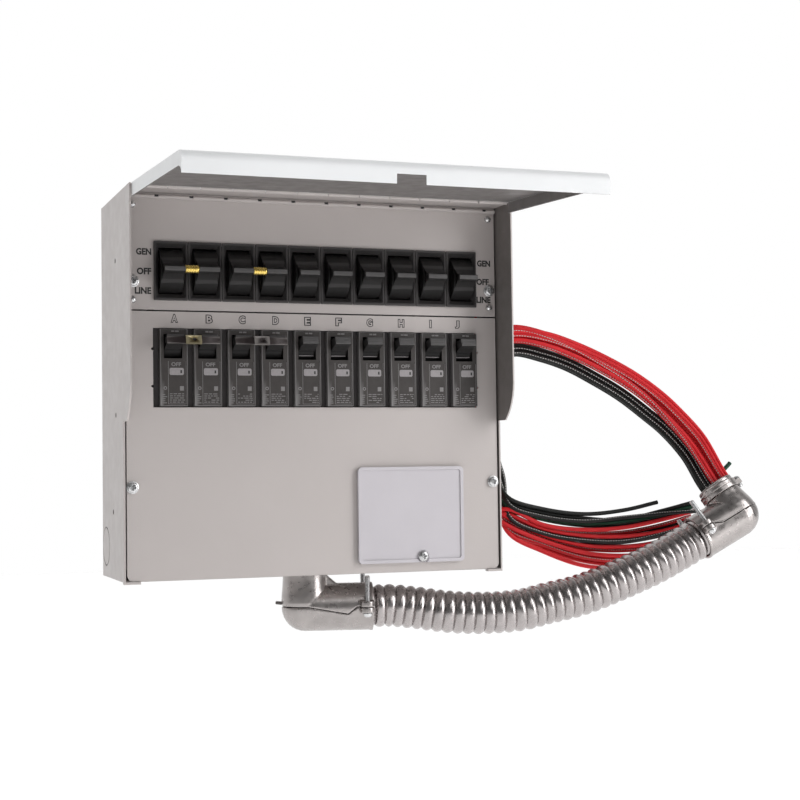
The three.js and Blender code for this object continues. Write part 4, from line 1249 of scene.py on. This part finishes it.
def threaded(name, seat, out, length, axes, *node):
    """A clamp screw: a round head with a cross recess on seat, and a threaded shank behind it."""
    shank, z = [], -0.6
    while z > -length + 1.6:
        shank += [
            (THREAD_R, z), (THREAD_ROOT_R, z - 0.35), (THREAD_ROOT_R, z - 0.45), (THREAD_R, z - 0.8)]
        z -= THREAD_PITCH
    profile = CLAMP_HEAD + shank + [(1.7, -length + 0.6), (1.3, -length), (0, -length)]
    seat, out = axes @ seat, axes.to_3x3() @ out
    obj = turned(name, profile, seat, out, 32, ["zinc"], 30)
    combine(obj, cross_recess(seat + out * 3.0 * MM, out, 3.8, 1.6, 0.6))
    return place(shade(obj), "cabinet", "zinc_plated_steel", *node)


def add_connector(prefix, axes, neck, socket, bore_top, gusset, near_side, corner_z, dip_z, pin_end):
    """corner_z and dip_z are the parting line's heights at the corner and just before the lugs."""
    housing = connector_housing(neck, socket, bore_top, gusset)
    line = [(-40, corner_z), (2, corner_z), (socket - 20, dip_z), (socket - 13, 1.0), (90, 1.0)]
    made = [
        cast_piece(housing, f"{prefix}_elbow_casting", axes, line, True, f"{prefix}_elbow_body"),
        cast_piece(housing, f"{prefix}_elbow_strap", axes, line, False, f"{prefix}_elbow_cap"),
    ]
    bpy.data.objects.remove(housing)
    for side, word, node in ((near_side, "near", [f"{prefix}_clamp_screw"]), (-near_side, "far", [])):
        seat = mm(socket - LUG_INSET, side * LUG_SCREW_Y, -3.8)
        made.append(threaded(f"{prefix}_clamp_screw_{word}", seat, -Z, 28.8, axes, *node))
    pin = [(0, -3), (1.3, -3), (1.3, pin_end - 0.6), (1.0, pin_end), (0, pin_end)]
    pin_at, pin_axis = axes @ mm(-16.8, 0, corner_z + 2.3), axes.to_3x3() @ Vector((-1, 0, 0.1))
    pin_piece = turned(f"{prefix}_hinge_pin", pin, pin_at, pin_axis, 20, ["dark_steel"])
    made.append(place(pin_piece, "cabinet", "zinc_plated_steel"))
    return made


LOWER_NECK = [
    (0, -8), (14, -8), (17.4, -1), (18.5, 4), (18.3, 9), (17.7, 16), (17.3, 22), (17.2, 27),
    (16.7, 27.2), (16.7, 40.6), (16.2, 41), (0, 41)]
UPPER_NECK = [
    (0, -8), (14, -8), (17.4, -1), (18.2, 2), (18.0, 5), (17.1, 10), (16.2, 15), (15.7, 19.5),
    (0, 19.5)]
COLLAR = [
    (14.4, 19.7), (16.0, 19.7), (16.5, 20.2), (16.6, 21.0), (16.6, 22.8), (16.3, 23.2), (16.3, 23.6),
    (16.6, 24.0), (16.6, 26.0), (16.2, 26.5), (15.6, 26.8), (15.3, 27.3), (15.5, 27.8), (15.5, 28.5),
    (15.2, 28.9), (15.5, 29.3), (15.4, 29.9), (15.1, 30.1), (14.7, 30.1), (14.4, 29.8)]


def add_connectors():
    """Both connectors. The upper one's pieces are returned: they go where the conduit goes."""
    add_connector("lower", LOWER_AXES, LOWER_NECK, 52, 41, 25, -1, 1.1, -4.6, 6.2)
    node_piece("lower_locknut", "lower_locknut_steel", "zinc", "zinc_plated_steel", 0.3)
    upper = add_connector(
        "upper", UPPER_AXES, UPPER_NECK, UPPER_SOCKET, 19.5, 14.5, 1, -2.2, -2.4, 3.0)
    bm = bmesh.new()
    lathe(bm, COLLAR, UPPER_AXES.translation, UPPER_AXES.to_3x3() @ Z, 64, closed=True)
    upper.append(place(new_object("upper_elbow_collar", bm, ["cast"], 30), "cabinet", "die_cast_zinc"))
    bm = block(bmesh.new(), mm(-21, -3.4, 20.4), mm(-15.5, 3.4, 24.6))
    bevel_sharp(bm, 0.9, 3)
    bm.transform(UPPER_AXES)
    upper.append(place(new_object("upper_collar_lug", bm, ["cast"]), "cabinet", "die_cast_zinc"))
    upper.append(threaded("upper_collar_screw", mm(-18.9, 0, 24.7), Z, 7, UPPER_AXES))
    return upper


upper_connector = add_connectors()


# ---- inside the cabinet ----
HARNESS_ROUTE = [mm(*p) for p in (
    (129, -66, 88), (133, -66, 87.4), (137, -65, 80), (138, -61, 60), (138, -60, 20),
    (138, -60, -30), (136, -58, -70), (120, -54, -98), (90, -50, -108), (50, -47, -110),
    (20, -45, -108), (5, -45, -112), (0, -45, -120))]
AROUND = 6  # leads around the middle one
LEAD_OFFSET = 2.6 * MM
LEAD_R = 1.25 * MM
TWIST = 0.08  # radians from one point of the path to the next


def add_inside():
    node_piece("breaker_rail", "breaker_rail_steel", "zinc", "zinc_plated_steel", 0.2)
    node_piece("ground_bar", "ground_bar_metal", "brass", "brass", 0.2)
    # leads laid side by side, slowly twisted round each other
    path, _ = spline(HARNESS_ROUTE, 4 * MM)
    bm = bmesh.new()
    for lead in range(AROUND + 1):
        offset = 0 if lead == AROUND else LEAD_OFFSET
        side_path = []
        side = X.copy()
        for i, point in enumerate(path):
            tangent = (path[min(i + 1, len(path) - 1)] - path[max(i - 1, 0)]).normalized()
            side = (side - tangent * side.dot(tangent)).normalized()
            a = 2 * math.pi * lead / AROUND + i * TWIST
            side_path.append(point + (side * math.cos(a) + tangent.cross(side) * math.sin(a)) * offset)
        tube(bm, side_path, LEAD_R, 10)
    wires = new_object("internal_harness", bm, ["red"], 50)
    place(wires, "cabinet", "red_pvc", "internal_leads")


add_inside()


# ---- floor and light ----
FLOOR_Z = -0.52
FLOOR_HALF = 6
FLOOR_LIGHT_SIZE = (18, 18)  # beyond the whole floor, so that it looks white from every side
LIGHTS_AIM = (0.05, -0.05, 0)


def area_light(name, location, target, size, power):
    data = bpy.data.lights.new(name, "AREA")
    data.shape = "RECTANGLE"
    data.size, data.size_y = size
    data.energy = power
    light = bpy.data.objects.new(name, data)
    light.location = location
    light.rotation_euler = (Vector(target) - Vector(location)).to_track_quat("-Z", "Y").to_euler()
    return linked(light)


def add_world():
    """A white studio that is bright behind the object and dimmer in front of it."""
    world = bpy.data.worlds.new("studio")
    world.use_nodes = True
    tree = world.node_tree
    towards = shader_node(tree, "ShaderNodeTexCoord").outputs["Generated"]
    split = shader_node(tree, "ShaderNodeSeparateXYZ", {"Vector": towards})
    fade = shader_node(tree, "ShaderNodeMapRange", {
        "Value": split.outputs["Y"], "From Min": 0.0, "From Max": 0.5, "To Min": 0.15, "To Max": 1.0})
    camera_ray = shader_node(tree, "ShaderNodeLightPath").outputs["Is Camera Ray"]
    inputs = {0: fade.outputs["Result"], 1: camera_ray}
    strength = shader_node(tree, "ShaderNodeMath", inputs, operation="MAXIMUM").outputs["Value"]
    background = tree.nodes["Background"]
    background.inputs["Color"].default_value = (1, 1, 1, 1)
    tree.links.new(strength, background.inputs["Strength"])
    bpy.context.scene.world = world


def add_stage():
    low = Vector((-FLOOR_HALF, -FLOOR_HALF, FLOOR_Z - 0.02))
    high = Vector((FLOOR_HALF, FLOOR_HALF, FLOOR_Z))
    new_object("floor", block(bmesh.new(), low, high), ["floor"])
    add_world()
    bpy.context.scene.view_settings.view_transform = "Standard"
    area_light("key", (1.7, -1.45, 0.75), LIGHTS_AIM, (1.0, 2.2), 39)
    area_light("fill", (0.3, -2.2, 1.4), LIGHTS_AIM, (1.6, 1.0), 7)
    # a wide light under the object that only the floor gets
    floor_light = area_light(
        "floor_light", (0, 0, FLOOR_Z + 0.04), (0, 0, FLOOR_Z), FLOOR_LIGHT_SIZE, 680)
    floor_light.visible_camera = False


add_stage()
